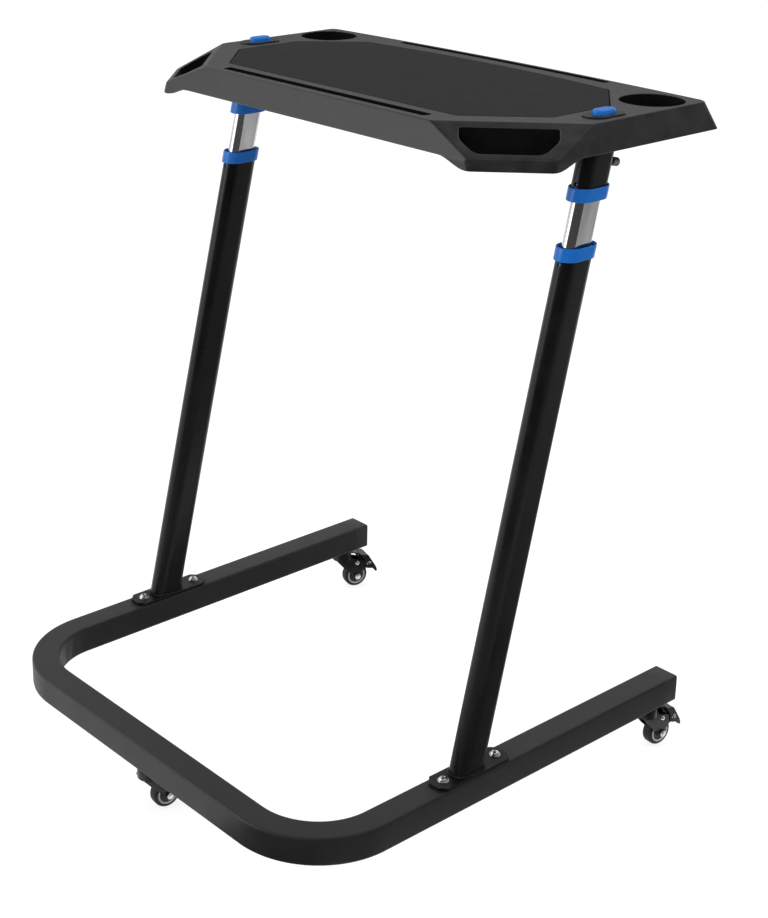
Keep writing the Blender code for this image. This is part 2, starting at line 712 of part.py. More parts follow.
def post_inner(side_name, post):
    """Chromed tube with its guide bush, release head and push rod."""
    inner = place("inner_tube_" + side_name,
                  oval_turned(tube_profile(INNER_WALL, INNER_FOOT, INNER_TOP), INNER_LONG,
                              INNER_SHORT), CHROME, post)
    clamp = UPPER_TUBE_FOOT + CLAMP_HEIGHT
    boolean(inner, helper("inner_clamp_hole_" + side_name, cylinders(
        [(0, INNER_LONG / 2, clamp)], CLAMP_SHANK_RADIUS + GAP, -0.005, 0.003, "Y", 12), post))
    outside = (POST_LONG - INNER_LONG) / 2 - POST_WALL - SLIDING_GAP
    bush = [(outside, INNER_FOOT + BUSH_LENGTH), (outside, INNER_FOOT - GAP - BUSH_LIP),
            (-INNER_WALL, INNER_FOOT - GAP - BUSH_LIP), (-INNER_WALL, INNER_FOOT - GAP),
            (GAP, INNER_FOOT - GAP), (GAP, INNER_FOOT + BUSH_LENGTH)]
    place("guide_bush_" + side_name, oval_turned(bush, INNER_LONG, INNER_SHORT), BLACK_PLASTIC,
          post)
    inside = INNER_WALL + GAP
    block = stadium(INNER_LONG - 2 * inside, INNER_SHORT - 2 * inside)
    head = place("release_head_" + side_name, smooth(extruded(
        [block], HEAD_STATION, HEAD_STATION + HEAD_LENGTH)), BRUSHED_STEEL, post)
    boolean(head, helper("head_bore_" + side_name, cylinders(
        [(0, 0, 0)], ROD_RADIUS + GAP, HEAD_STATION - 0.01, HEAD_STATION + HEAD_LENGTH + 0.01),
        post))
    low = HEAD_STATION + HEAD_LENGTH - PUSH_ROD_IN_HEAD
    high = (DESK_TOP_Z - FOOT_Z) / math.cos(TILT) - BUTTON_FLANGE_DEPTH
    needle = low - NEEDLE_LENGTH
    turned("push_rod_" + side_name,
           [(0, high), (PUSH_ROD_RADIUS, high), (PUSH_ROD_RADIUS, low), (NEEDLE_RADIUS, low),
            (NEEDLE_RADIUS, needle), (0, needle)], BRUSHED_STEEL, post, steps=10)


def post_upper(side_name, post):
    """Upper tube with its collar, cut level under the mounting plate."""
    run_out = POST_LONG * math.tan(TILT)
    foot = UPPER_COLLAR_FOOT
    top = foot + COLLAR_HEIGHT
    tube = place("upper_tube_" + side_name, levelled(
        oval_turned(tube_profile(POST_WALL, UPPER_TUBE_FOOT, SOCKET_TOP + run_out), POST_LONG,
                    POST_SHORT), UPPER_TUBE_FOOT, UPPER_TUBE_FOOT), BLACK_PAINT, post)
    level_cut(tube, SOCKET_PLATE_Z - GAP, True)
    clamp = UPPER_TUBE_FOOT + CLAMP_HEIGHT
    boolean(tube, helper("clamp_hole_" + side_name, cylinders(
        [(0, POST_LONG / 2, clamp)], CLAMP_SHANK_RADIUS + GAP, -0.005, 0.003, "Y", 12), post))
    snap = top - run_out / 2 + SNAP_HOLE_DISTANCE
    boolean(tube, helper("upper_snap_hole_" + side_name, cylinders(
        [(0, -POST_LONG / 2, snap)], SNAP_HOLE_RADIUS, -0.004, 0.003, "Y", 10), post))
    bore = -(POST_LONG - INNER_LONG) / 2 + GAP
    profile = [(GAP, top), (COLLAR_PROUD - COLLAR_EDGE, top), (COLLAR_PROUD, top - COLLAR_EDGE),
               (COLLAR_PROUD, foot + COLLAR_EDGE), (COLLAR_PROUD - COLLAR_EDGE, foot),
               (bore, foot), (bore, foot + COLLAR_WEB), (GAP, foot + COLLAR_WEB)]
    place("upper_collar_" + side_name, levelled(oval_turned(profile, POST_LONG, POST_SHORT), foot,
                                                top), BLUE_PLASTIC, post)


def clamp_screw(side_name, post):
    """Cap screw square to the post, through both tubes from behind."""
    head = CLAMP_HEAD_LENGTH
    profile = [(0, head - CLAMP_SOCKET_DEPTH), (CLAMP_SOCKET_RADIUS, head - CLAMP_SOCKET_DEPTH),
               (CLAMP_SOCKET_RADIUS, head), (CLAMP_HEAD_RADIUS, head), (CLAMP_HEAD_RADIUS, 0),
               (CLAMP_SHANK_RADIUS, 0), (CLAMP_SHANK_RADIUS, -CLAMP_SHANK_LENGTH),
               (0, -CLAMP_SHANK_LENGTH)]
    place("clamp_screw_" + side_name, spun(profile, 10, ALONG_Y), BRUSHED_STEEL, post,
          (0, POST_LONG / 2 + GAP, UPPER_TUBE_FOOT + CLAMP_HEIGHT))


def far_edge(x, inset):
    """V of the far edge, which bows towards the rider."""
    return DESK_DEPTH - inset + DESK_BOW * (1 - (x / DESK_HALF) ** 2)


def desk_ring(inset, corner_line, height, steps=2, bow_steps=6):
    """Right half of the top's plan at one height, from the near edge round to the far edge."""
    side = DESK_HALF - inset
    ring = [(-MIRROR_OVERLAP, inset, height), (corner_line + inset, inset, height),
            (side, side - corner_line, height)]
    centre_x = side - FAR_CORNER_RADIUS
    centre_v = far_edge(centre_x, inset) - FAR_CORNER_RADIUS
    for step in range(steps + 1):
        angle = math.pi / 2 * step / steps
        ring.append((centre_x + FAR_CORNER_RADIUS * math.cos(angle),
                     centre_v + FAR_CORNER_RADIUS * math.sin(angle), height))
    for step in range(1, bow_steps + 1):
        x = centre_x - (centre_x + MIRROR_OVERLAP) * step / bow_steps
        ring.append((x, far_edge(abs(x), inset), height))
    return ring


def skirt_inset(depth):
    """How far the skirt's outside lies in from its widest, at a depth below the top."""
    return SKIRT_TAPER * max(0, 1 - depth / SKIRT_HEIGHT)


def desk_loft(top, ridge, ridge_line, low, wall):
    """Solid through the plans at the top, at the corners' ridge, at the rim and further down."""
    rings = [desk_ring(skirt_inset(top) + wall, CORNER_TOP_LINE, -top),
             desk_ring(skirt_inset(ridge) + wall, ridge_line, -ridge)]
    for depth in (SKIRT_HEIGHT, low):
        line = ridge_line + LIP_TAPER * (depth - ridge)
        rings.append(desk_ring(skirt_inset(depth) + wall, line, -depth))
    return loft(rings)


def desk_block():
    """Outside of the moulding, carried on below its rim."""
    low = SKIRT_HEIGHT + 2 * LIP_DROP
    return desk_loft(0, CORNER_RIDGE_DROP, CORNER_RIDGE_LINE, low, 0)


def desk_hollow():
    """Inside of the moulding, a wall's thickness within the outside."""
    low = SKIRT_HEIGHT + 3 * LIP_DROP
    ridge_line = CORNER_RIDGE_LINE - SKIRT_THICKNESS * math.sqrt(2)
    ridge = CORNER_THICKNESS + CORNER_SLOPE * (ridge_line - CORNER_TOP_LINE)
    return desk_loft(TOP_THICKNESS, ridge, ridge_line, low, SKIRT_THICKNESS)


def on_corner(points, low, high):
    """A flat outline in the corner's own directions, extruded level: along it, and outwards."""
    diagonal = math.sqrt(0.5)
    middle = Vector((CORNER_TOP_LINE + CORNER_MIDDLE, CORNER_MIDDLE))
    turned_points = [(middle.x + (along + out) * diagonal, middle.y + (along - out) * diagonal)
                     for along, out in points]
    return extruded([turned_points], low, high)


def hold_outline(grow=0.0):
    """Hand-hold: wide above, narrow below with rounded corners."""
    top, bottom = HOLD_TOP_WIDTH / 2 + grow, HOLD_BOTTOM_WIDTH / 2 + grow * 0.6
    radius = 0.014
    return rounded([(-top, HOLD_TOP_INSET - grow, 0.003), (top, HOLD_TOP_INSET - grow, 0.003),
                    (top, HOLD_SHOULDER_INSET, radius), (bottom, HOLD_BOTTOM_INSET + grow, radius),
                    (-bottom, HOLD_BOTTOM_INSET + grow, radius),
                    (-top, HOLD_SHOULDER_INSET, radius)], 3)


def rim_cutter():
    """What lies below the skirt's rim: level, and dipping in an S under each sloping corner."""
    low = -SKIRT_HEIGHT - 4 * LIP_DROP
    reach = 2 * DESK_HALF + DESK_DEPTH
    points = [(-reach, low), (-reach, -SKIRT_HEIGHT)]
    for step in range(LIP_CURVE_STEPS + 1):
        share = step / LIP_CURVE_STEPS
        line = LIP_CURVE_START + (LIP_CURVE_END - LIP_CURVE_START) * share
        drop = SKIRT_HEIGHT + LIP_DROP * (1 - math.cos(math.pi * share)) / 2
        points.append((line * math.sqrt(0.5), -drop))
    points += [(reach, points[-1][1]), (reach, low)]
    diagonal = math.sqrt(0.5)
    frame = Matrix(((diagonal, 0, diagonal, 0), (-diagonal, 0, diagonal, 0), (0, 1, 0, 0),
                    (0, 0, 0, 1)))
    return extruded([points], -1, 1, frame)


def slot_outline(near, grow=0.0):
    """Right half of a slot with a rounded end, following its border."""
    end = SLOT_HALF_LENGTH + grow
    if near:
        low, high = SLOT_NEAR - grow, SLOT_NEAR + SLOT_NEAR_WIDTH + grow
        radius = (high - low) / 2.5
        return rounded([(-MIRROR_OVERLAP / 2, low, 0), (end, low, radius), (end, high, radius),
                        (-MIRROR_OVERLAP / 2, high, 0)], 2)
    steps = 3
    runs = [-MIRROR_OVERLAP / 2 + (end + MIRROR_OVERLAP / 2) * step / steps
            for step in range(steps + 1)]
    inset = SKIRT_TAPER + SLOT_FAR_MARGIN - grow
    width = SLOT_FAR_WIDTH + 2 * grow
    outer = [(x, far_edge(abs(x), inset), 0) for x in runs]
    inner = [(x, v - width, 0) for x, v, nothing in outer]
    radius = width / 2.5
    outer[-1] = (*outer[-1][:2], radius)
    inner[-1] = (*inner[-1][:2], radius)
    return rounded(inner + outer[::-1], 2)


def mat_far_edge(x):
    """V of the mat's far edge, which bows more than the top's own."""
    return far_edge(0, SKIRT_TAPER + MAT_FAR_MARGIN) - MAT_BOW * (x / MAT_FAR_HALF) ** 2


def mat_outline(margin=0.0, mirrored=False):
    """The mat's octagon, or its right half for the recess, with a bowed far edge."""
    far_steps = 4
    half = MAT_FAR_HALF - margin
    start = 0 if mirrored else -MIRROR_OVERLAP / 2
    radius = MAT_CORNER_RADIUS
    right = [(MAT_NEAR_HALF - margin * 0.4, MAT_NEAR + margin, radius),
             (MAT_HALF_WIDTH - margin, MAT_SIDE_NEAR + margin * 0.4, radius),
             (MAT_HALF_WIDTH - margin, MAT_SIDE_FAR - margin * 0.4, radius)]
    for step in range(far_steps):
        x = half - (half - start) * step / far_steps
        v = mat_far_edge(x) - margin
        right.append((x, v, radius if step == 0 else 0))
    if mirrored:
        left = [(-x, v, radius) for x, v, radius in right[::-1]]
        middle = [(0, mat_far_edge(0) - margin, 0)]
        return rounded(right + middle + left)
    ends = [(start, mat_far_edge(0), 0), (start, MAT_NEAR, 0)]
    return rounded(right + ends)


def screw_places():
    """Where the screws of one mounting plate stand, seen from its post in the right half."""
    return [(ARM_X, DESK_POST_SETBACK - SCREW_AHEAD), (ARM_X, DESK_POST_SETBACK + SCREW_AHEAD),
            (ARM_X - SCREW_INBOARD, DESK_POST_SETBACK - SCREW_INBOARD_AHEAD),
            (ARM_X - SCREW_INBOARD, DESK_POST_SETBACK + SCREW_INBOARD_AHEAD)]


def desk_top(desk):
    """The moulding: one half cut from a block, then mirrored."""
    shell = place("desk_top", desk_block(), GREY_PLASTIC, desk, DESK_ORIGIN)
    bevel(shell, TOP_EDGE, 2)

    def add(name, mesh):
        return helper(name, mesh, desk, DESK_ORIGIN)

    hollow = add("desk_hollow", desk_hollow())
    under = -TOP_THICKNESS
    above = 0.01
    far = DESK_DEPTH + DESK_BOW
    ribs = [((-MIRROR_OVERLAP * 2, v, under - RIB_DEPTH), (max(RIBS_ACROSS), v + RIB_THICKNESS, above))
            for v in RIBS_ALONG]
    boolean(hollow, add("ribs_along", boxes(ribs)))
    cross = [((x - RIB_THICKNESS / 2, 0, under - RIB_DEPTH + GAP),
              (x + RIB_THICKNESS / 2, far, above + GAP)) for x in RIBS_ACROSS]
    boolean(hollow, add("ribs_across", boxes(cross)))
    bosses = [(x, v, 0) for x, v in screw_places()]
    boolean(hollow, add("bosses", cylinders(bosses, BOSS_RADIUS, under - BOSS_HEIGHT, above, "Z", 8)))
    cup_foot = -CUP_DEPTH - CUP_WALL
    cup_profile = [(0, above), (CUP_RADIUS + CUP_WALL, above), (CUP_RADIUS + CUP_WALL, 0),
                   (CUP_BOTTOM_RADIUS + CUP_WALL, cup_foot), (0, cup_foot)]
    boolean(hollow, add("cup_well", spun(cup_profile, CUP_STEPS, CUP_PLACE)))
    for near in (True, False):
        tray = extruded([slot_outline(near, SLOT_WALL)], -SLOT_DEPTH - SLOT_WALL, above)
        boolean(hollow, add("slot_tray_near" if near else "slot_tray_far", tray))
    boolean(hollow, add("hold_wall", on_corner(hold_outline(HOLD_WALL), -CORNER_RIDGE_DROP
                                               - HOLD_WALL_DEPTH / 2, above)))
    boolean(shell, hollow)
    boolean(shell, add("rim", rim_cutter()))
    boolean(shell, add("mat_recess", extruded([mat_outline()], -MAT_THICKNESS - GAP, above)))
    for near in (True, False):
        groove = extruded([slot_outline(near)], -SLOT_DEPTH, above)
        boolean(shell, add("slot_near" if near else "slot_far", groove))
    bore_profile = [(0, above), (CUP_RADIUS, above), (CUP_RADIUS, 0),
                    (CUP_BOTTOM_RADIUS, -CUP_DEPTH), (0, -CUP_DEPTH)]
    boolean(shell, add("cup_bore", spun(bore_profile, CUP_STEPS, CUP_PLACE)))
    boolean(shell, add("hand_hold", on_corner(hold_outline(), -0.08, above)))
    sleeve = stadium(sleeve_length() + 2 * GAP, sleeve_width() + 2 * GAP)
    boolean(shell, helper("bezel_hole", extruded([sleeve], -0.02, above), desk,
                          DESK_ORIGIN + Vector((ARM_X, BUTTON_V, 0))))
    holes = [(x, v, 0) for x, v in screw_places()]
    boolean(shell, add("screw_holes", cylinders(holes, SCREW_RADIUS + GAP, under - 2 * BOSS_HEIGHT,
                                                -TOP_THICKNESS * 0.7, "Z", 6)))
    mirror = shell.modifiers.new("other half", "MIRROR")
    mirror.use_bisect_axis[0] = True
    mirror.use_clip = True
    mirror.merge_threshold = 0.00001


def sleeve_length():
    return BUTTON_LENGTH + 2 * (BUTTON_FLANGE + BUTTON_END_GAP + BEZEL_SLEEVE_WALL)


def sleeve_width():
    return BUTTON_WIDTH + 2 * (BUTTON_FLANGE + BUTTON_SIDE_GAP + BEZEL_SLEEVE_WALL)


def desk_mat(desk):
    low = -MAT_THICKNESS
    place("desk_mat", extruded([mat_outline(MAT_SIDE_GAP, True)], low, 0), MAT_RUBBER, desk,
          DESK_ORIGIN)


def button_set(side_name, side, desk, button_frame):
    """Bezel let into the top, and the button that slides in it along the post."""
    spot = DESK_ORIGIN + Vector((side * ARM_X, BUTTON_V, 0))
    lip_foot = BEZEL_RISE - BEZEL_LIP
    bezel = place("bezel_" + side_name, smooth(extruded(
        [stadium(BEZEL_LENGTH, BEZEL_WIDTH)], GAP, BEZEL_RISE)), BLACK_PLASTIC, desk, spot)
    bevel(bezel, BEZEL_EDGE, 1, 60)
    sleeve = extruded([stadium(sleeve_length(), sleeve_width())], -BEZEL_SLEEVE, lip_foot + 0.0008)
    boolean(bezel, helper("bezel_sleeve_" + side_name, sleeve, desk, spot), "UNION")
    throat = stadium(BUTTON_LENGTH + 2 * BUTTON_END_GAP, BUTTON_WIDTH + 2 * BUTTON_SIDE_GAP)
    room = stadium(sleeve_length() - 2 * BEZEL_SLEEVE_WALL, sleeve_width() - 2 * BEZEL_SLEEVE_WALL)
    boolean(bezel, helper("bezel_throat_" + side_name, extruded([throat], -0.02, 0.02), desk, spot))
    boolean(bezel, helper("bezel_room_" + side_name, extruded([room], -0.02, lip_foot), desk,
                          spot))
    body = stadium(BUTTON_LENGTH, BUTTON_WIDTH)
    flange_top = lip_foot - GAP
    button = place("button_" + side_name, smooth(extruded([body], flange_top - BUTTON_FLANGE_DEPTH
                                                          / 2, BUTTON_RISE)),
                   BLUE_PLASTIC, button_frame)
    bevel(button, BUTTON_EDGE, 2, 60)
    flange = stadium(BUTTON_LENGTH + 2 * BUTTON_FLANGE, BUTTON_WIDTH + 2 * BUTTON_FLANGE)
    boolean(button, helper("button_flange_" + side_name, extruded(
        [flange], flange_top - BUTTON_FLANGE_DEPTH, flange_top), button_frame), "UNION")
    hub = cylinders([(0, 0, 0)], BUTTON_HUB_RADIUS, -BUTTON_HUB_DEPTH, flange_top - GAP)
    boolean(button, helper("button_hub_" + side_name, hub, button_frame), "UNION")
    post = bpy.data.objects["post_" + side_name]
    rod_top = (DESK_TOP_Z - FOOT_Z) / math.cos(TILT) - BUTTON_FLANGE_DEPTH
    socket = cylinders([(0, 0, 0)], PUSH_ROD_RADIUS + GAP, rod_top - 0.03, rod_top + GAP, "Z", 10)
    boolean(button, helper("button_socket_" + side_name, socket, post))


def socket_plate(side_name, side, desk):
    """Plate that the upper tube is welded to, screwed to four bosses."""
    top = -SOCKET_PLATE_DEPTH
    low = top - SOCKET_PLATE_THICKNESS
    half = SOCKET_PLATE_LENGTH / 2
    near, far = DESK_POST_SETBACK - half, DESK_POST_SETBACK + half
    inner, outer = ARM_X - SOCKET_PLATE_INNER, ARM_X + SOCKET_PLATE_OUTER
    corner = SOCKET_PLATE_CORNER
    outline = rounded([(side * inner, near, corner), (side * outer, near, corner),
                       (side * outer, far, corner), (side * inner, far, corner)], 2)
    plate = place("socket_plate_" + side_name, extruded([outline], low, top), BLACK_PAINT, desk,
                  DESK_ORIGIN)
    well = [(side * ARM_X + x, DESK_POST_SETBACK + v) for x, v in stadium(WELL_LENGTH, WELL_WIDTH)]
    boolean(plate, helper("well_" + side_name, extruded([well], low - 0.01, top + 0.01), desk,
                          DESK_ORIGIN))
    holes = [(side * x, v, low) for x, v in screw_places()]
    boolean(plate, helper("plate_holes_" + side_name, cylinders(
        holes, SCREW_RADIUS + GAP, -0.01, 0.02, "Z", 8), desk, DESK_ORIGIN))


def caster_stem(name, frame):
    """Stem with its race flange under the tube, and the nut that holds it inside the tube."""
    race_top = BASE_CLEARANCE - GAP
    race_foot = race_top - RACE_THICKNESS
    head_top = CROWN_FOOT - GAP
    top = BASE_CLEARANCE + BASE_WALL + STEM_RISE
    stem = [(0, top), (STEM_RADIUS, top), (STEM_RADIUS, race_top), (RACE_RADIUS, race_top),
            (RACE_RADIUS, race_foot), (STEM_RADIUS, race_foot), (STEM_RADIUS, head_top),
            (STEM_HEAD_RADIUS, head_top), (STEM_HEAD_RADIUS, head_top - STEM_HEAD_HEIGHT),
            (0, head_top - STEM_HEAD_HEIGHT)]
    low = BASE_CLEARANCE + BASE_WALL + GAP
    body = place(name + "_stem", spun(stem, 10), BRUSHED_STEEL, frame)
    boolean(body, helper(name + "_nut", cylinders([(0, 0, 0)], STEM_NUT_RADIUS, low,
                                                  low + STEM_NUT_HEIGHT, "Z", 6), frame), "UNION")


def fork(name, frame):
    """Round crown that swivels on the stem, with two cheeks down to the axle and the brake."""
    top, foot = CROWN_TOP, CROWN_FOOT
    bore = STEM_RADIUS + GAP
    profile = [(bore, top), (CROWN_TOP_RADIUS, top), (CROWN_RADIUS, top - CROWN_SHOULDER),
               (CROWN_RADIUS, foot), (bore, foot)]
    crown = place(name + "_fork", lathe_ring(profile, 16), BLACK_PAINT, frame)
    axle_z = WHEEL_RADIUS
    trail = CASTER_TRAIL
    eye = FORK_EYE_RADIUS
    front = CROWN_RADIUS * 0.82
    ear = EAR_RADIUS
    inside = foot + 0.004
    cheek = rounded([(-front, inside, 0), (-front, foot, 0), (0.002, 0.0455, 0.010),
                     (trail - eye, axle_z + 0.002, 0.008), (trail - eye * 0.5, axle_z - eye, 0.004),
                     (trail + eye * 0.6, axle_z - eye, 0.004), (trail + eye, axle_z + 0.006, 0.008),
                     (BRAKE_AFT - 2.5 * ear, BRAKE_HEIGHT - 2.6 * ear, ear),
                     (BRAKE_AFT + ear, BRAKE_HEIGHT - 1.2 * ear, ear),
                     (BRAKE_AFT + ear * 0.9, BRAKE_HEIGHT + ear, ear * 0.9),
                     (CROWN_RADIUS * 0.9, foot, 0), (CROWN_RADIUS * 0.9, inside, 0)], 1)
    for side in SIDES:
        low, high = sorted((side * FORK_INNER, side * FORK_OUTER))
        leg = helper("%s_cheek_%s" % (name, SIDE_NAMES[side]), extruded([cheek], low, high, UPRIGHT),
                     frame)
        boolean(crown, leg, "UNION")
    holes = [(0, trail, axle_z)]
    reach = FORK_OUTER * 2
    boolean(crown, helper(name + "_axle_hole", cylinders(holes, AXLE_RADIUS + GAP, -reach, reach,
                                                         "X", 10), frame))
    tie = Matrix.Translation((0, trail, TIE_RIVET_HEIGHT)) @ ALONG_X
    pivot = Matrix.Translation((0, BRAKE_AFT, BRAKE_HEIGHT)) @ ALONG_X
    boolean(crown, helper(name + "_tie", rivet(FORK_OUTER - GAP, tie), frame), "UNION")
    boolean(crown, helper(name + "_pivot", rivet(FORK_OUTER + 2 * GAP + PEDAL_CHEEK, pivot), frame),
            "UNION")


def rivet(reach, matrix):
    """Rivet with a flat-domed head from this far out on each side."""
    top = reach + RIVET_HEAD_HEIGHT
    half = [(0, top), (RIVET_HEAD_RADIUS * 0.8, top), (RIVET_HEAD_RADIUS, reach),
            (RIVET_RADIUS, reach)]
    return spun(half + [(radius, -height) for radius, height in half[::-1]], 8, matrix)


def lathe_ring(profile, steps):
    """Ring with a closed profile of (radius, height) turned about Z."""
    bm = bmesh.new()
    verts = [bm.verts.new((radius, 0, height)) for radius, height in profile]
    edges = [bm.edges.new(pair) for pair in zip(verts, verts[1:] + verts[:1])]
    bmesh.ops.spin(bm, geom=verts + edges, cent=(0, 0, 0), axis=(0, 0, 1), angle=math.tau,
                   steps=steps, use_duplicate=False)
    bmesh.ops.remove_doubles(bm, verts=bm.verts, dist=0.00001)
    return smooth(to_mesh(bm))


def wheel(name, wheel_frame):
    """Hub with a recessed face on each side, and the tyre on it."""
    half = WHEEL_WIDTH / 2
    bore = AXLE_RADIUS + GAP
    hub_half = half - 0.0006
    boss = bore + 0.0028
    recess = hub_half - HUB_FACE_DEPTH
    hub = [(bore, hub_half), (boss, hub_half), (boss, recess), (HUB_FACE_RADIUS, recess),
           (HUB_FACE_RADIUS, hub_half), (HUB_RADIUS, hub_half), (HUB_RADIUS, -hub_half),
           (HUB_FACE_RADIUS, -hub_half), (HUB_FACE_RADIUS, -recess), (boss, -recess),
           (boss, -hub_half), (bore, -hub_half)]
    sideways(place(name + "_hub", lathe_ring(hub, 14), LIGHT_PLASTIC, wheel_frame))
    seat = HUB_RADIUS + GAP
    tyre = [(seat, half), (WHEEL_RADIUS - TREAD_EDGE, half),
            (WHEEL_RADIUS - TREAD_EDGE * 0.3, half - TREAD_EDGE * 0.3),
            (WHEEL_RADIUS, half - TREAD_EDGE), (WHEEL_RADIUS, -half + TREAD_EDGE),
            (WHEEL_RADIUS - TREAD_EDGE * 0.3, -half + TREAD_EDGE * 0.3),
            (WHEEL_RADIUS - TREAD_EDGE, -half), (seat, -half)]
    sideways(place(name + "_tyre", lathe_ring(tyre, 18), BLACK_RUBBER, wheel_frame))


def sideways(obj):
    obj.rotation_euler = (0, math.pi / 2, 0)


def axle(name, frame):
    """Axle bolt with a domed head on one side and a hexagon nut on the other."""
    reach = FORK_OUTER + GAP
    end = reach + AXLE_NUT_HEIGHT + 0.0012
    profile = [(0, end), (AXLE_RADIUS, end),
               (AXLE_RADIUS, -reach), (AXLE_NUT_RADIUS, -reach),
               (AXLE_NUT_RADIUS, -reach - 0.0012), (AXLE_NUT_RADIUS * 0.7, -reach - 0.0032),
               (0, -reach - 0.0036)]
    location = (0, CASTER_TRAIL, WHEEL_RADIUS)
    bolt = place(name + "_axle", spun(profile, 10, ALONG_X), BRIGHT_STEEL, frame, location)
    boolean(bolt, helper(name + "_axle_nut", cylinders(
        [(0, 0, 0)], AXLE_NUT_RADIUS * 1.1, reach, reach + AXLE_NUT_HEIGHT, "X", 6), frame,
        location), "UNION")


def offset_line(points, distance):
    """Open run of points moved sideways by a distance, to the right of its direction."""
    moved = []
    for index, point in enumerate(points):
        before = Vector(point) - Vector(points[max(index - 1, 0)])
        after = Vector(points[min(index + 1, len(points) - 1)]) - Vector(point)
        sides = [Vector((run.y, -run.x)).normalized() for run in (before, after) if run.length > 0]
        mean = sum(sides, Vector((0, 0))).normalized()
        moved.append(tuple(Vector(point) + mean * distance / mean.dot(sides[0])))
    return moved


def pedal(name, frame):
    """Slitted hood over the fork's end, with a cam on its pivot that comes down on the tyre."""
    back = [(PEDAL_TOP_AFT, PEDAL_TOP_HEIGHT), (PEDAL_BEND_AFT, PEDAL_BEND_HEIGHT),
            (PEDAL_KNEE_AFT, PEDAL_KNEE_HEIGHT), (PEDAL_REACH, PEDAL_TAIL_HEIGHT)]
    hood = [(*back[0], 0.0006), (*back[1], 0.002), (*back[2], 0.004), (*back[3], 0.0006),
            (PEDAL_REACH - PEDAL_TAIL, PEDAL_TAIL_HEIGHT, 0.0006), (0.0525, 0.0300, 0.004),
            (BRAKE_AFT - 0.006, BRAKE_HEIGHT - 0.0065, 0.004), (0.0370, 0.0480, 0.004)]
    inner = offset_line(back, PEDAL_PLATE)
    start = Vector(inner[0]) * 2 - Vector(inner[1])
    room = [tuple(start)] + inner[1:3] + [(inner[3][0], 0.0), (start.x, 0.0)]
    outer = PEDAL_HALF_WIDTH
    wide = outer - PEDAL_CHEEK
    wheel_way = math.atan2(WHEEL_RADIUS - BRAKE_HEIGHT, CASTER_TRAIL - BRAKE_AFT)
    peak = wheel_way + math.radians(CAM_ANGLE)
    cam = [(inner[1][0] + 0.001, inner[1][1] - 0.012), (BRAKE_AFT - 0.0045, BRAKE_HEIGHT + 0.003)]
    for turn, radius in ((-35, CAM_RADIUS), (-12, 0.82 * CAM_REACH), (0, CAM_REACH),
                         (12, 0.9 * CAM_REACH), (35, CAM_RADIUS), (70, CAM_RADIUS)):
        angle = peak + math.radians(turn)
        cam.append((BRAKE_AFT + radius * math.cos(angle), BRAKE_HEIGHT + radius * math.sin(angle)))
    cam.append((inner[2][0] - 0.004, BRAKE_HEIGHT - 0.004))
    place_back = (0, -BRAKE_AFT, -BRAKE_HEIGHT)
    body = place(name + "_pedal", extruded([rounded(hood, 1)], -outer, outer, UPRIGHT),
                 BLACK_PLASTIC, frame, place_back)
    boolean(body, helper(name + "_pedal_room", extruded([room], -wide, wide, UPRIGHT), frame,
                         place_back))
    inside = FORK_INNER - BRAKE_GAP
    boolean(body, helper(name + "_pedal_cam", extruded([cam], -inside, inside, UPRIGHT), frame,
                         place_back), "UNION")
    slits = [((x - PEDAL_SLIT_WIDTH / 2, PEDAL_BEND_AFT + 0.001, BRAKE_HEIGHT + 0.008),
              (x + PEDAL_SLIT_WIDTH / 2, PEDAL_KNEE_AFT, PEDAL_BEND_HEIGHT - 0.005))
             for x in PEDAL_SLITS]
    boolean(body, helper(name + "_slits", boxes(slits), frame, place_back))
    boolean(body, helper(name + "_pedal_hole", cylinders(
        [(0, 0, 0)], RIVET_RADIUS + GAP, -2 * outer, 2 * outer, "X", 6), frame))


def caster(name, place_x, place_y, turn):
    """One whole caster under the tube, turned about its stem."""
    fixed = empty(name + "_mount", (place_x, place_y, 0))
    swivel = empty(name + "_swivel", (0, 0, 0), (0, 0, math.radians(turn)), fixed)
    spin = empty(name + "_spin", (0, CASTER_TRAIL, WHEEL_RADIUS), parent=swivel)
    brake = empty(name + "_brake", (0, BRAKE_AFT, BRAKE_HEIGHT), parent=swivel)
    caster_stem(name, fixed)
    fork(name, swivel)
    axle(name, swivel)
    wheel(name, spin)
    pedal(name, brake)


clear_scene()
PARTS = collection("standing_fitness_desk")
CUTTERS = collection("cutters")

SIDES = (-1, 1)
SIDE_NAMES = {-1: "left", 1: "right"}
DESK_ORIGIN = Vector((0, -BUTTON_V, 0))
CASTER_PLACES = {
    "caster_front": (0.0, FRONT_Y + BASE_TUBE / 2, FRONT_CASTER_TURN),
    "caster_left": (-ARM_X, FRONT_Y + BASE_DEPTH - CASTER_INSET, LEFT_CASTER_TURN),
    "caster_right": (ARM_X, FRONT_Y + BASE_DEPTH - CASTER_INSET, RIGHT_CASTER_TURN),
}

BLACK_PAINT = finish("black paint", (0.010, 0.010, 0.011), 0.35)
BLACK_PLASTIC = finish("black plastic", (0.012, 0.012, 0.013), 0.45)
GREY_PLASTIC = finish("grey plastic", (0.060, 0.058, 0.062), 0.55)
LIGHT_PLASTIC = finish("light grey plastic", (0.32, 0.32, 0.34), 0.45)
BLUE_PLASTIC = finish("blue plastic", (0.006, 0.105, 0.52), 0.35)
MAT_RUBBER = finish("mat", (0.032, 0.031, 0.032), 0.80)
BLACK_RUBBER = finish("tyre rubber", (0.008, 0.008, 0.009), 0.60)
CHROME = finish("chrome", (0.80, 0.81, 0.83), 0.08, 1.0)
BRIGHT_STEEL = finish("bright steel", (0.72, 0.73, 0.75), 0.22, 1.0)
BRUSHED_STEEL = finish("brushed steel", (0.32, 0.32, 0.33), 0.35, 1.0)

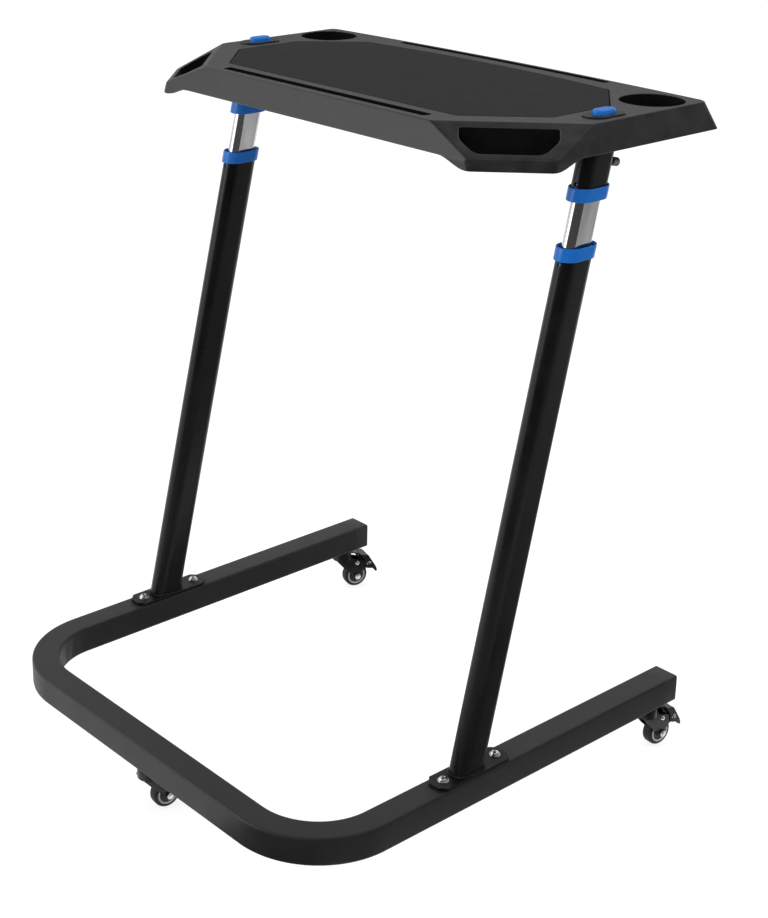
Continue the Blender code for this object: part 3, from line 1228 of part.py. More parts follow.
base_frame()
for side in SIDES:
    side_name = SIDE_NAMES[side]
    post = empty("post_" + side_name, (side * ARM_X, FOOT_Y, FOOT_Z), (-TILT, 0, 0))
    end_cap("end_cap_" + side_name, side)
    base_plate("base_plate_" + side_name, side)
    for end, end_name in ((-1, "near"), (1, "far")):
        base_bolt("base_bolt_%s_%s" % (side_name, end_name), side * ARM_X,
                  FOOT_Y + PLATE_AFT + end * BOLT_SPACING / 2)
    post_lower(side_name, post)
    gas_spring(side_name, post)
    post_inner(side_name, post)
    post_upper(side_name, post)
    clamp_screw(side_name, post)
desk_frame = empty("desk", (0, AXIS_TOP_Y, DESK_TOP_Z))
desk_top(desk_frame)
desk_mat(desk_frame)
for side in SIDES:
    side_name = SIDE_NAMES[side]
    press = empty("press_" + side_name, (side * ARM_X, 0, 0), parent=desk_frame)
    button_set(side_name, side, desk_frame, press)
    socket_plate(side_name, side, desk_frame)
for name, (x, y, turn) in CASTER_PLACES.items():
    caster(name, x, y, turn)
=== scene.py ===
"""Looks of a standing fitness desk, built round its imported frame. Metres, +Z up, the rider at +Y.

A new piece is a net of points: a profile carried round a loop or along a path. Its place comes from
the frame's own boxes and joints, so the piece sits where its solid is.
"""
import json
import math

import bmesh
import bpy
import numpy as np
from mathutils import Matrix, Vector


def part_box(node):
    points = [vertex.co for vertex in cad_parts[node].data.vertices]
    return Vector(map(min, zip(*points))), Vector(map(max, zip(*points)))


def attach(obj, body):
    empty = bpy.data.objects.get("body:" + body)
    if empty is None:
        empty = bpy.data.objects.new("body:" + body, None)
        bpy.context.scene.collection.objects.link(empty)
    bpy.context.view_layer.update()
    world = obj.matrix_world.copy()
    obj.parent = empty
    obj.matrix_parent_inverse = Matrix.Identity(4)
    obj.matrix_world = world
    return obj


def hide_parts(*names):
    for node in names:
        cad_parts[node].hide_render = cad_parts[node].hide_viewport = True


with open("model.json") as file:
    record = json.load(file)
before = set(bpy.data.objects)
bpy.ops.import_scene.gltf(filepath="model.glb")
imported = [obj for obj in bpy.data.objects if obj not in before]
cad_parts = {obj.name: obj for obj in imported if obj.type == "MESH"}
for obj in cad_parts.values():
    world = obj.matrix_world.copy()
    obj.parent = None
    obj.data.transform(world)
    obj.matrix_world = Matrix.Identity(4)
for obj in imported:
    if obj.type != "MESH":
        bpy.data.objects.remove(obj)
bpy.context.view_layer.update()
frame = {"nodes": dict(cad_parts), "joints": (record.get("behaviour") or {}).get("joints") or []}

JOINTS = {joint["name"]: joint for joint in frame["joints"]}
SIDES = {"left": -1.0, "right": 1.0}
CASTERS = ("front", "left", "right")
GAP = 0.0003

# Square tube of the base and its bends
TUBE = 0.0400
TUBE_WALL = 0.0015
TUBE_EDGE = 0.0035
BEND_RADIUS = 0.130
CAP_LENGTH = 0.028
WRINKLES = 7
WRINKLE_DEPTH = 0.0007

# Plates and bolts at the posts' feet
PLATE_LENGTH = 0.130
PLATE_WIDTH = 0.037
PLATE_CORNER = 0.010
PLATE_AFT = 0.006
BOLT_SPACING = 0.0955
BEAD_RADIUS = 0.0020
BEAD_PITCH = 0.0019

# Posts, given by stations along their own axis from the plates up
POST_LONG = 0.0504
POST_SHORT = 0.0304
POST_WALL = 0.0015
INNER_LONG = 0.0428
INNER_SHORT = 0.0228
OUTER = (POST_SHORT / 2, POST_LONG / 2, POST_SHORT / 2)
INNER = (INNER_SHORT / 2, INNER_LONG / 2, INNER_SHORT / 2)
LOWER_TUBE_TOP = 0.6945
LOWER_COLLAR_TOP = 0.6978
UPPER_COLLAR_FOOT = 0.7548
UPPER_TUBE_FOOT = 0.7581
INNER_FOOT = 0.3678
INNER_TOP = 0.8328
COLLAR_HEIGHT = 0.017
COLLAR_PROUD = 0.003
SNAP_DISTANCE = 0.0042
SNAP_BORE = 0.0026
SNAP_RADIUS = 0.0019
TUBE_OVERRUN = 0.012
UPPER_TUBE_END = 0.860
CLAMP_HEIGHT = 0.047

# Moulded top: V runs from the near bottom edge of its skirt towards the rider
DESK_WIDTH = 0.740
DESK_DEPTH = 0.380
DESK_BOW = 0.012
SKIRT_HEIGHT = 0.035
SKIRT_TAPER = 0.0142
SKIRT_WALL = 0.003
TOP_THICKNESS = 0.004
TOP_EDGE = 0.0018
RIM_EDGE = 0.0009

# Its sloping corners: a line is X - V there, and the lip is what hangs lowest
CORNER_TOP_LINE = 0.2052
CORNER_RIDGE_LINE = 0.293
RIDGE_DROP = 0.0310
CORNER_WALL = 0.0026
RIDGE_BLEND = 0.0012
CORNER_CREASE = 0.008
CORNER_RUN = (CORNER_RIDGE_LINE - CORNER_TOP_LINE) / RIDGE_DROP
LIP_TAPER = 0.35
LIP_DROP = 0.0112
LIP_START = 0.250
LIP_END = 0.291

# Hand-holds, along a corner's top edge and out from it
HOLD_FAR = 0.057
HOLD_NEAR = -0.062
HOLD_TOP = 0.010
HOLD_CHAMFER = 0.030
HOLD_FOOT = 0.054
HOLD_EDGE = 0.0013
HOLD_WALL = 0.0028
HOLD_WALL_FOOT = -0.0400

# Rows and columns of the top's net: rows of the slope, reach of the rounded turns, shares of edges
SLOPE_ROWS = (6, 12)
PLAN_REACH = 0.0045
FAR_REACH = 0.011
NEAR_SHARES = np.concatenate([np.linspace(0, 0.82, 8, False), np.linspace(0.82, 1, 13, False)])
CORNER_SHARES = np.linspace(0, 1, 14, False)
SIDE_SHARES = np.concatenate([np.linspace(0, 0.17, 13, False), np.linspace(0.17, 1, 9, False)])

# Cups, slots, mat, ribs and screw bosses of the top
CUP = (0.309, 0.316)
CUP_RADIUS = 0.042
CUP_FLOOR_RADIUS = 0.038
CUP_DEPTH = 0.030
CUP_WALL = 0.0024
CUP_FLARE = 0.0013
SLOT_HALF = 0.197
SLOT_NEAR = (0.026, 0.041)
SLOT_FAR_WIDTH = 0.012
SLOT_FAR_INSET = SKIRT_TAPER + 0.0065
SLOT_DEPTH = 0.010
SLOT_WALL = 0.002
MAT_THICKNESS = 0.0018
MAT_NEAR = 0.056
MAT_NEAR_HALF = 0.222
MAT_HALF = 0.302
MAT_FAR = 0.0512
MAT_BOW = 0.014
MAT_FAR_HALF = 0.230
RIB_WALL = 0.0024
RIB_HEIGHT = 0.014
RIB_REACH = 0.260
RIB_ROWS = (0.110, 0.262)
BOSS_RADIUS = 0.0052
BOSS_HEIGHT = 0.008
SCREWS = ((0.0, -0.0405), (0.0, 0.0405), (-0.048, -0.030), (-0.048, 0.030))
POST_V = 0.1957

# Casters: Y runs aft from the stem, Z up from the floor; a rivet stands at (aft, up, out)
CASTER_TRAIL = 0.024
WHEEL_RADIUS = 0.0205
RIVETS = ((CASTER_TRAIL, 0.0450, 0.0117), (0.0452, 0.0412, 0.0135))


def away(node, corner, axis):
    """One coordinate of a solid's box: corner 0 is its low end and 1 its high end."""
    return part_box(node)[corner][axis]


FRONT_Y = away("base_frame", 0, 1)
TUBE_FOOT = away("base_frame", 0, 2)
TUBE_MIDDLE = TUBE_FOOT + TUBE / 2
TUBE_END = away("base_frame", 1, 1)
ARM_X = away("base_frame", 1, 0) - TUBE / 2
PLATE_FOOT = away("base_plate_left", 0, 2)
FOOT_Z = away("base_plate_left", 1, 2) + GAP
FOOT_Y = (away("base_plate_left", 0, 1) + away("base_plate_left", 1, 1)) / 2 - PLATE_AFT
DESK_Z = away("desk_mat", 1, 2)
NEAR_Y = away("desk_top", 0, 1)
POST_AXIS = np.array(JOINTS["desk_height"]["axis"]) / np.linalg.norm(JOINTS["desk_height"]["axis"])
BUTTON_Y = FOOT_Y + (DESK_Z - FOOT_Z) * POST_AXIS[1] / POST_AXIS[2]
BUTTON_V = BUTTON_Y - NEAR_Y
UPPER_TUBE_TOP = away("upper_tube_left", 1, 2)


# Nets of points

def net(points, closed=False, around=True):
    """Points in rows and columns as (points, faces): a face joins two neighbours of a row to the
    same two of the next row."""
    rows, columns = points.shape[:2]
    row = np.arange(rows if closed else rows - 1)[:, None]
    column = np.arange(columns if around else columns - 1)[None, :]
    above, beside = (row + 1) % rows, (column + 1) % columns
    corners = (row * columns + column, row * columns + beside, above * columns + beside,
               above * columns + column)
    faces = np.stack(np.broadcast_arrays(*corners), -1).reshape(-1, 4)
    return points.reshape(-1, 3), [faces]


def filled(*loops):
    """Flat faces inside the first loop of points and outside the others, without its doubles."""
    bm = bmesh.new()
    edges = []
    for loop in loops:
        loop = loop[np.linalg.norm(loop - np.roll(loop, 1, 0), axis=1) > 0.000002]
        verts = [bm.verts.new(point) for point in loop]
        edges += [bm.edges.new(pair) for pair in zip(verts, verts[1:] + verts[:1])]
    bmesh.ops.triangle_fill(bm, use_beauty=True, use_dissolve=False, edges=edges)
    bm.verts.index_update()
    points = np.array([vert.co[:] for vert in bm.verts])
    faces = np.array([[vert.index for vert in face.verts] for face in bm.faces])
    bm.free()
    return points, [faces]


def joined(*parts):
    """Several nets as one."""
    points, faces, count = [], [], 0
    for some_points, blocks in parts:
        points.append(some_points)
        faces += [block + count for block in blocks]
        count += len(some_points)
    return np.concatenate(points), faces


def mark_edges(mesh):
    """Marks each point with 1 - r / 3 mm, down to 0, where r is how tightly the surface turns
    outwards there: the distance between the middles of two faces over the angle between them."""
    faces, edges = len(mesh.polygons), len(mesh.edges)
    sides = np.empty(faces, np.int32)
    along = np.empty(len(mesh.loops), np.int32)
    ends = np.empty(2 * edges, np.int32)
    normal, middle = np.empty(3 * faces), np.empty(3 * faces)
    mesh.polygons.foreach_get("loop_total", sides)
    mesh.loops.foreach_get("edge_index", along)
    mesh.edges.foreach_get("vertices", ends)
    mesh.polygons.foreach_get("normal", normal)
    mesh.polygons.foreach_get("center", middle)
    normal, middle, ends = normal.reshape(-1, 3), middle.reshape(-1, 3), ends.reshape(-1, 2)
    order = np.argsort(along, kind="stable")
    edge, face = along[order], np.repeat(np.arange(faces), sides)[order]
    twin = np.flatnonzero(edge[:-1] == edge[1:])
    one, two, shared = face[twin], face[twin + 1], edge[twin]
    step = middle[two] - middle[one]
    angle = np.arccos(np.clip((normal[one] * normal[two]).sum(1), -1, 1))
    outwards = (normal[one] * step).sum(1) < 0
    turn = np.linalg.norm(step, axis=1) / np.maximum(angle, 0.0001)
    mark = np.where(outwards, np.clip(1 - turn / 0.003, 0, 1), 0)
    marks = np.zeros(len(mesh.vertices))
    np.maximum.at(marks, ends[shared].ravel(), np.repeat(mark, 2))
    mesh.attributes.new("edge", "FLOAT", "POINT").data.foreach_set("value", marks)


def mesh_of(name, part):
    """Mesh of a net with its doubles merged and its faces turned outwards."""
    points, blocks = part
    mesh = bpy.data.meshes.new(name)
    mesh.from_pydata(points.tolist(), [], [face for block in blocks for face in block.tolist()])
    bm = bmesh.new()
    bm.from_mesh(mesh)
    bmesh.ops.remove_doubles(bm, verts=bm.verts, dist=0.000002)
    bmesh.ops.dissolve_degenerate(bm, edges=bm.edges, dist=0.000001)
    bmesh.ops.recalc_face_normals(bm, faces=bm.faces)
    bm.to_mesh(mesh)
    bm.free()
    mark_edges(mesh)
    return mesh


def moved(part, place):
    """A net turned and shifted by a 4 by 4 matrix."""
    points, faces = part
    return points @ place[:3, :3].T + place[:3, 3], faces


def shifted(x, y, z):
    """Matrix that only shifts."""
    place = np.eye(4)
    place[:3, 3] = (x, y, z)
    return place


def framed(origin, x_axis, y_axis, z_axis):
    """Matrix that takes X, Y and Z to three given directions from a given origin."""
    place = np.eye(4)
    place[:3, 0], place[:3, 1], place[:3, 2], place[:3, 3] = x_axis, y_axis, z_axis, origin
    return place


def bent(corners, steps=5, closed=False):
    """Line through (x, y, reach) corners; each is rounded by (1-s)^2 a + 2s(1-s) corner + s^2 b,
    where a and b lie on its two sides, a reach away from it."""
    points = np.array([corner[:2] for corner in corners], float)
    share = np.linspace(0, 1, steps + 1)[:, None]
    runs = []
    for index, (x, y, reach) in enumerate(corners):
        if reach == 0 or not closed and index in (0, len(corners) - 1):
            runs.append(points[index][None])
            continue
        before = points[index - 1] - points[index]
        after = points[(index + 1) % len(points)] - points[index]
        start = points[index] + before / np.linalg.norm(before) * reach
        end = points[index] + after / np.linalg.norm(after) * reach
        runs.append((1 - share) ** 2 * start + 2 * share * (1 - share) * points[index]
                    + share ** 2 * end)
    return np.concatenate(runs)


def outline(corners, steps=6):
    """Closed line through (x, y, reach) corners, rounded as in bent."""
    return bent(corners, steps, True)


def oval(half_x, half_y, radius, steps=10):
    """Rounded rectangles, one to a row: each corner's centre plus its radius times (cos, sin)."""
    half_x, half_y, radius = (np.atleast_1d(np.asarray(value, float))[:, None]
                              for value in (half_x, half_y, radius))
    quarter = np.repeat(np.arange(4), steps + 1)
    angle = np.tile(np.linspace(0, math.pi / 2, steps + 1), 4) + quarter * math.pi / 2
    east = np.where((quarter == 0) | (quarter == 3), 1, -1)
    north = np.where(quarter < 2, 1, -1)
    x = east * np.maximum(half_x - radius, 0) + radius * np.cos(angle)
    y = north * np.maximum(half_y - radius, 0) + radius * np.sin(angle)
    return np.stack(np.broadcast_arrays(x, y), -1)


def levelled(loop, height):
    """A line of plan points at one height, or each at its own."""
    return np.column_stack([loop, np.broadcast_to(height, len(loop))])


def raised_rows(loops, heights):
    """Rows of plan points, each row at its own height."""
    return np.concatenate([loops, np.broadcast_to(heights[:, None, None],
                                                  loops.shape[:2] + (1,))], -1)


def turned(shape, profile, steps=10, closed=False):
    """Carries a profile of (inset, height) round a rounded rectangle (half x, half y, radius).
    Each row's rectangle is drawn in by its inset, its corner radius too, down to nothing."""
    half_x, half_y, radius = shape
    profile = np.asarray(profile, float)
    inset = profile[:, 0]
    loops = oval(np.maximum(half_x - inset, 0), np.maximum(half_y - inset, 0),
                 np.clip(radius - inset, 0, None), steps)
    return net(raised_rows(loops, profile[:, 1]), closed)


def lathed(profile, steps=48, closed=False, wave=None):
    """Turns a profile of (radius, height) about Z; wave(angle) scales each row's radius."""
    profile = np.asarray(profile, float)
    angle = np.linspace(0, math.tau, steps, endpoint=False)[None, :]
    radius = profile[:, 0][:, None] * np.ones_like(angle)
    if wave is not None:
        radius = radius * wave(angle)
    height = profile[:, 1][:, None] * np.ones_like(angle)
    return net(np.stack([radius * np.cos(angle), radius * np.sin(angle), height], -1), closed)


def offset(loop, distance):
    """A closed counter-clockwise line moved outwards: each point goes along the sum of its two
    sides' normals, divided by one plus their dot product, so that the sides stay parallel."""
    ahead = np.roll(loop, -1, 0) - loop
    ahead = ahead / np.maximum(np.linalg.norm(ahead, axis=1), 1e-9)[:, None]
    normal = np.stack([ahead[:, 1], -ahead[:, 0]], 1)
    before = np.roll(normal, 1, 0)
    mitre = (normal + before) / (1 + (normal * before).sum(1))[:, None]
    return loop + distance * mitre


def drawn(loop, profile):
    """Rows of a closed line, each moved in by its inset and set at its height."""
    return np.stack([levelled(offset(loop, -inset), height) for inset, height in profile])


def slab(loop, profile):
    """Solid of a closed line with a profile up its side, flat at both ends."""
    rows = drawn(loop, profile)
    return joined(net(rows), filled(rows[0]), filled(rows[-1]))


def carried(sections, origins, sides, ups):
    """Carries a section of (across, up) along a path: origin + across * side + up * up axis."""
    return (origins[:, None, :] + sections[..., 0:1] * sides[:, None, :]
            + sections[..., 1:2] * ups[:, None, :])


def placed(name, data):
    """New object in the scene."""
    made = bpy.data.objects.new(name, data)
    bpy.context.scene.collection.objects.link(made)
    return made


# Finishes

def group(name, inputs, outputs):
    """Empty shader node group with named sockets; inputs map names to default values."""
    made = bpy.data.node_groups.new(name, "ShaderNodeTree")
    for socket, value in inputs.items():
        made.interface.new_socket(socket, in_out="INPUT", socket_type="NodeSocketFloat"
                                  ).default_value = value
    for socket in outputs:
        made.interface.new_socket(socket, in_out="OUTPUT", socket_type="NodeSocketFloat")
    return made, made.nodes.new("NodeGroupInput"), made.nodes.new("NodeGroupOutput")


def node(tree, kind, links=(), **settings):
    """Adds a node with its settings; links map input numbers or names to sockets or values."""
    made = tree.nodes.new("ShaderNode" + kind)
    for key, value in settings.items():
        setattr(made, key, value)
    for key, value in dict(links).items():
        if isinstance(value, bpy.types.NodeSocket):
            tree.links.new(value, made.inputs[key])
        else:
            made.inputs[key].default_value = value
    return made


def maths(tree, operation, *values):
    """Result of a maths node on sockets or values."""
    return node(tree, "Math", dict(enumerate(values)), operation=operation).outputs[0]


def spread(tree, value, low, high, to_low=0.0, to_high=1.0):
    """Maps low..high to to_low..to_high, clamped."""
    return node(tree, "MapRange", {0: value, 1: low, 2: high, 3: to_low, 4: to_high}).outputs[0]


def own_place(tree):
    """Coordinates of the piece itself."""
    return node(tree, "TexCoord").outputs["Object"]


def noise(tree, place, scale, detail, roughness=0.5, distortion=0.0):
    """Value of a noise texture at a place."""
    return node(tree, "TexNoise", {"Vector": place, "Scale": scale, "Detail": detail,
                                   "Roughness": roughness, "Distortion": distortion}).outputs[0]


def cells(tree, place, scale, feature):
    """Distance to the nearest point of a cell texture."""
    return node(tree, "TexVoronoi", {"Vector": place, "Scale": scale}, feature=feature).outputs[0]


def mask_group(name, amount, mask):
    """Group that puts out a mask times its amount; mask(tree) builds the mask."""
    tree, taken, given = group(name, {"Amount": amount}, ("Mask",))
    tree.links.new(maths(tree, "MULTIPLY", mask(tree), taken.outputs["Amount"]),
                   given.inputs["Mask"])
    return tree


def grain_group():
    """Spark-eroded mould grain: fine noise over small cells, and a slow mottle over both."""
    tree, taken, given = group("mould_grain", {"Size": 0.0006, "Cells": 0.5},
                               ("Height", "Mottle"))
    place = own_place(tree)
    scale = maths(tree, "DIVIDE", 1.0, taken.outputs["Size"])
    fine = noise(tree, place, scale, 3.0, 0.6)
    pebble = cells(tree, place, maths(tree, "MULTIPLY", scale, 0.7), "SMOOTH_F1")
    bumps = maths(tree, "MULTIPLY", spread(tree, pebble, 0.1, 0.75), taken.outputs["Cells"])
    tree.links.new(maths(tree, "ADD", fine, bumps), given.inputs["Height"])
    slow = noise(tree, place, 34.0, 4.0, 0.55, 0.4)
    tree.links.new(spread(tree, slow, 0.35, 0.66), given.inputs["Mottle"])
    return tree


def peel_group():
    """Powder coat: orange-peel swell, fine specks, and a slow change of gloss."""
    tree, taken, given = group("powder_coat", {"Size": 0.0016}, ("Height", "Mottle"))
    place = own_place(tree)
    scale = maths(tree, "DIVIDE", 1.0, taken.outputs["Size"])
    swell = noise(tree, place, scale, 1.5, 0.4)
    specks = cells(tree, place, maths(tree, "MULTIPLY", scale, 2.4), "F1")
    bumps = maths(tree, "MULTIPLY", spread(tree, specks, 0.0, 0.5, 1.0, 0.0), 0.25)
    tree.links.new(maths(tree, "ADD", swell, bumps), given.inputs["Height"])
    tree.links.new(spread(tree, noise(tree, place, 17.0, 5.0, 0.6), 0.36, 0.68),
                   given.inputs["Mottle"])
    return tree


def worn_and_highlit_edges(tree):
    """The piece's own edge attribute, broken up by noise: rubbed wear, and a painted highlight
    along the edges.
    """
    edge = node(tree, "Attribute", attribute_name="edge").outputs["Fac"]
    broken = noise(tree, own_place(tree), 210.0, 4.0, 0.7)
    return maths(tree, "MULTIPLY", edge, spread(tree, broken, 0.38, 0.62, 0.35, 1.0))


def settled_dust(tree):
    """The upward part of the normal, gathered in soft patches of specks."""
    place = own_place(tree)
    facing = node(tree, "SeparateXYZ", {0: node(tree, "NewGeometry").outputs["Normal"]}).outputs[2]
    patches = noise(tree, place, 9.0, 6.0, 0.65, 0.8)
    specks = noise(tree, place, 900.0, 2.0)
    soft = maths(tree, "MULTIPLY", spread(tree, facing, 0.35, 0.95),
                 spread(tree, patches, 0.40, 0.72))
    return maths(tree, "MULTIPLY", soft, spread(tree, specks, 0.35, 0.75, 0.4, 1.0))


def drawn_group():
    """Drawn or ground metal: noise stretched along one direction, as lines and as slow bands."""
    tree, taken, given = group("drawn_lines", {"Across": 1400.0, "Along": 8.0, "Lean": 0.0},
                               ("Lines", "Bands"))
    turn = node(tree, "CombineXYZ", {0: taken.outputs["Lean"], 1: 0.0, 2: 0.0}).outputs[0]
    upright = node(tree, "VectorRotate", {0: own_place(tree), "Rotation": turn},
                   rotation_type="EULER_XYZ").outputs[0]
    across = taken.outputs["Across"]
    size = node(tree, "CombineXYZ", {0: across, 1: across, 2: taken.outputs["Along"]}).outputs[0]
    stretched = node(tree, "VectorMath", {0: upright, 1: size}, operation="MULTIPLY").outputs[0]
    slow = node(tree, "VectorMath", {0: stretched, 1: (0.04, 0.04, 1.5)},
                operation="MULTIPLY").outputs[0]
    tree.links.new(noise(tree, stretched, 1.0, 3.0, 0.6), given.inputs["Lines"])
    tree.links.new(spread(tree, noise(tree, slow, 1.0, 4.0), 0.35, 0.65), given.inputs["Bands"])
    return tree


GRAIN = grain_group()
PEEL = peel_group()
# Edge mask: rubbed wear, and a painted highlight along the edges.
EDGE_WEAR_AND_HIGHLIGHT = mask_group("worn_and_highlit_edges", 0.5, worn_and_highlit_edges)
DUST = mask_group("settled_dust", 0.3, settled_dust)
DRAWN = drawn_group()


def material(name):
    """New material and its node tree."""
    made = bpy.data.materials.new(name)
    made.use_nodes = True
    return made, made.node_tree


def started(name, metallic=0.0, specular=0.5):
    """Material with its shader and the values that are the same all over it."""
    made, tree = material(name)
    shader = tree.nodes["Principled BSDF"]
    shader.inputs["Metallic"].default_value = metallic
    shader.inputs["Specular IOR Level"].default_value = specular
    return made, tree, shader


def effect(tree, which, **values):
    """Puts a node group into a material with its values, and gives its outputs."""
    made = tree.nodes.new("ShaderNodeGroup")
    made.node_tree = which
    for key, value in values.items():
        made.inputs[key].default_value = value
    return made.outputs


def blended(tree, factor, first, second):
    """Colour that goes from the first to the second with the factor."""
    mix = tree.nodes.new("ShaderNodeMix")
    mix.data_type = "RGBA"
    tree.links.new(factor, mix.inputs[0])
    for socket, value in ((mix.inputs[6], first), (mix.inputs[7], second)):
        if isinstance(value, bpy.types.NodeSocket):
            tree.links.new(value, socket)
        else:
            socket.default_value = (*value, 1.0)
    return mix.outputs[2]


def bumped(tree, shader, height, distance):
    """Bumps of a height map, as deep as the distance, in a shader's normal."""
    bump = node(tree, "Bump", {"Height": height, "Distance": distance, "Strength": 1.0})
    tree.links.new(bump.outputs[0], shader.inputs["Normal"])


def finished(name, slot, texture, colour, pale, roughness, depth, mottle, gloss, dull, dust, wear_and_highlight,
             specular, **sizes):
    """Plastic or paint: a texture group's bumps, its mottle in colour and gloss, rubbed edges with
    a painted highlight on them, and dust. Gloss is the change of roughness from low to high mottle,
    dull what full dust adds."""
    made, tree, shader = started(name, specular=specular)
    surface = effect(tree, texture, **sizes)
    rubbed_and_lit = effect(tree, EDGE_WEAR_AND_HIGHLIGHT, Amount=wear_and_highlight)[0]
    dusty = effect(tree, DUST, Amount=dust)[0]
    light = maths(tree, "MINIMUM", maths(tree, "ADD", rubbed_and_lit, dusty), 1.0)
    mottled = blended(tree, maths(tree, "MULTIPLY", surface["Mottle"], mottle), colour, pale)
    tree.links.new(blended(tree, light, mottled, pale), shader.inputs["Base Color"])
    rough = spread(tree, surface["Mottle"], 0.0, 1.0, roughness + gloss[0], roughness + gloss[1])
    tree.links.new(maths(tree, "ADD", rough, maths(tree, "MULTIPLY", dusty, dull)),
                   shader.inputs["Roughness"])
    bumped(tree, shader, surface["Height"], depth)
    return made


def moulded(name, slot, colour, pale, roughness, size, depth, cells=0.5, dust=0.05, wear_and_highlight=0.3,
            specular=0.5):
    """Moulded plastic or rubber with a grain of a size and depth."""
    return finished(name, slot, GRAIN, colour, pale, roughness, depth, 0.14, (-0.035, 0.045), 0.25,
                    dust, wear_and_highlight, specular, Size=size, Cells=cells)


def painted(name, colour, pale, roughness, size=0.0016, dust=0.25, wear_and_highlight=0.25, specular=0.5):
    """Powder-coated steel with orange peel of a size."""
    return finished(name, "black_paint", PEEL, colour, pale, roughness, 0.00003, 0.10,
                    (-0.03, 0.05), 0.3, dust, wear_and_highlight, specular, Size=size)


def metal(name, colour, dull, roughness, across, along, lean=0.0, depth=0.000004):
    """Bare or plated metal: drawn lines, slow bands of gloss and a duller tone in them."""
    made, tree, shader = started(name, metallic=1.0)
    lines = effect(tree, DRAWN, Across=across, Along=along, Lean=lean)
    tree.links.new(blended(tree, lines["Bands"], colour, dull), shader.inputs["Base Color"])
    gloss = spread(tree, lines["Bands"], 0.0, 1.0, roughness * 0.75, roughness * 1.35)
    tree.links.new(maths(tree, "ADD", gloss, spread(tree, lines["Lines"], 0.3, 0.7, -0.02, 0.02)),
                   shader.inputs["Roughness"])
    bumped(tree, shader, lines["Lines"], depth)
    return made


LEAN = math.atan2(POST_AXIS[1], POST_AXIS[2])
# Its large edge share also paints the light line along the top's rims: a painted highlight as well
# as wear.
TOP_PLASTIC = moulded("desk_plastic", "grey_plastic", (0.0182, 0.0158, 0.0180),
                      (0.120, 0.112, 0.120), 0.42, 0.0007, 0.00004, dust=0.10, wear_and_highlight=0.75,
                      specular=0.45)
# Painted shade: a near-black copy of the top's plastic with little specular, for the faces inside
# the cups, slots, hand-holds and the mat's recess.
PAINTED_SHADE_PLASTIC = moulded("painted_shade_plastic", "grey_plastic", (0.0045, 0.0040, 0.0045),
                         (0.020, 0.019, 0.020), 0.80, 0.0007, 0.00004, wear_and_highlight=0.5,
                         specular=0.08)
MAT = moulded("desk_mat_rubber", "mat_rubber", (0.0184, 0.0162, 0.0182), (0.060, 0.056, 0.060),
              0.70, 0.0011, 0.00012, cells=1.2, dust=0.10, wear_and_highlight=0.2, specular=0.15)
BLACK_PLASTIC = moulded("black_plastic", "black_plastic", (0.0070, 0.0066, 0.0070),
                        (0.060, 0.058, 0.060), 0.38, 0.0006, 0.00003, wear_and_highlight=0.6,
                        specular=0.35)
CAP_PLASTIC = moulded("cap_plastic", "black_plastic", (0.0200, 0.0180, 0.0198),
                      (0.080, 0.076, 0.080), 0.50, 0.0008, 0.00003, dust=0.10, wear_and_highlight=0.5,
                      specular=0.45)
BLUE = moulded("blue_plastic", "blue_plastic", (0.002, 0.180, 0.710), (0.040, 0.330, 0.850), 0.30,
               0.0009, 0.000012, cells=0.2, dust=0.03, wear_and_highlight=0.5, specular=0.35)
TUBE_PAINT = painted("base_paint", (0.0152, 0.0134, 0.0151), (0.070, 0.066, 0.070),
                     0.46, dust=0.12, specular=0.4)
POST_PAINT = painted("post_paint", (0.0050, 0.0045, 0.0050), (0.045, 0.043, 0.045),
                     0.30, dust=0.03, specular=0.25)
FORK_PAINT = painted("caster_paint", (0.0070, 0.0066, 0.0070), (0.060, 0.058, 0.060),
                     0.30, size=0.0011, dust=0.05, wear_and_highlight=0.6, specular=0.35)
CHROME = metal("post_chrome", (0.84, 0.84, 0.85), (0.50, 0.50, 0.51), 0.10, 700.0, 5.0,
               LEAN, 0.000003)
ZINC = metal("zinc_steel", (0.80, 0.80, 0.81), (0.58, 0.58, 0.60), 0.20, 1500.0,
             1500.0)
STEEL = metal("satin_steel", (0.30, 0.30, 0.31), (0.17, 0.17, 0.175), 0.32, 1800.0,
              300.0)
TYRE = moulded("tyre_rubber", "tyre_rubber", (0.0070, 0.0066, 0.0070), (0.065, 0.063, 0.060), 0.55,
               0.0005, 0.00004, wear_and_highlight=0.35, specular=0.3)
RING_PLASTIC = moulded("wheel_ring_plastic", "light_plastic", (0.60, 0.60, 0.61),
                       (0.62, 0.62, 0.63), 0.40, 0.0006, 0.00001)
HUB_PLASTIC = moulded("wheel_hub_plastic", "light_plastic", (0.018, 0.0175, 0.0185),
                      (0.10, 0.10, 0.10), 0.42, 0.0006, 0.00002, specular=0.3)


# Pieces of the object

def piece(name, part, look, body, stands_for=(), angle=38.0):
    """One object from a net, smooth up to an angle."""
    mesh = mesh_of(name, part)
    mesh.shade_smooth()
    mesh.set_sharp_from_angle(angle=math.radians(angle))
    mesh.materials.append(look)
    made = placed(name, mesh)
    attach(made, body)
    if stands_for:
        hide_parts(*stands_for)
    return made


def even_normals(obj):
    """Lets large flat faces decide the shading, so that a fillet fades into them."""
    weighted = obj.modifiers.new("even normals", "WEIGHTED_NORMAL")
    weighted.keep_sharp = True
    return obj


def bored(obj, part):
    """Cuts a closed net out of a piece."""
    tool = placed("bore", mesh_of("bore", part))
    cut = obj.modifiers.new("bore", "BOOLEAN")
    cut.operation = "DIFFERENCE"
    cut.solver = "EXACT"
    cut.object = tool
    graph = bpy.context.evaluated_depsgraph_get()
    result = bpy.data.meshes.new_from_object(obj.evaluated_get(graph))
    obj.modifiers.remove(cut)
    obj.data = result
    bpy.data.objects.remove(tool)
    result.shade_smooth()
    result.set_sharp_from_angle(angle=math.radians(38))
    return obj


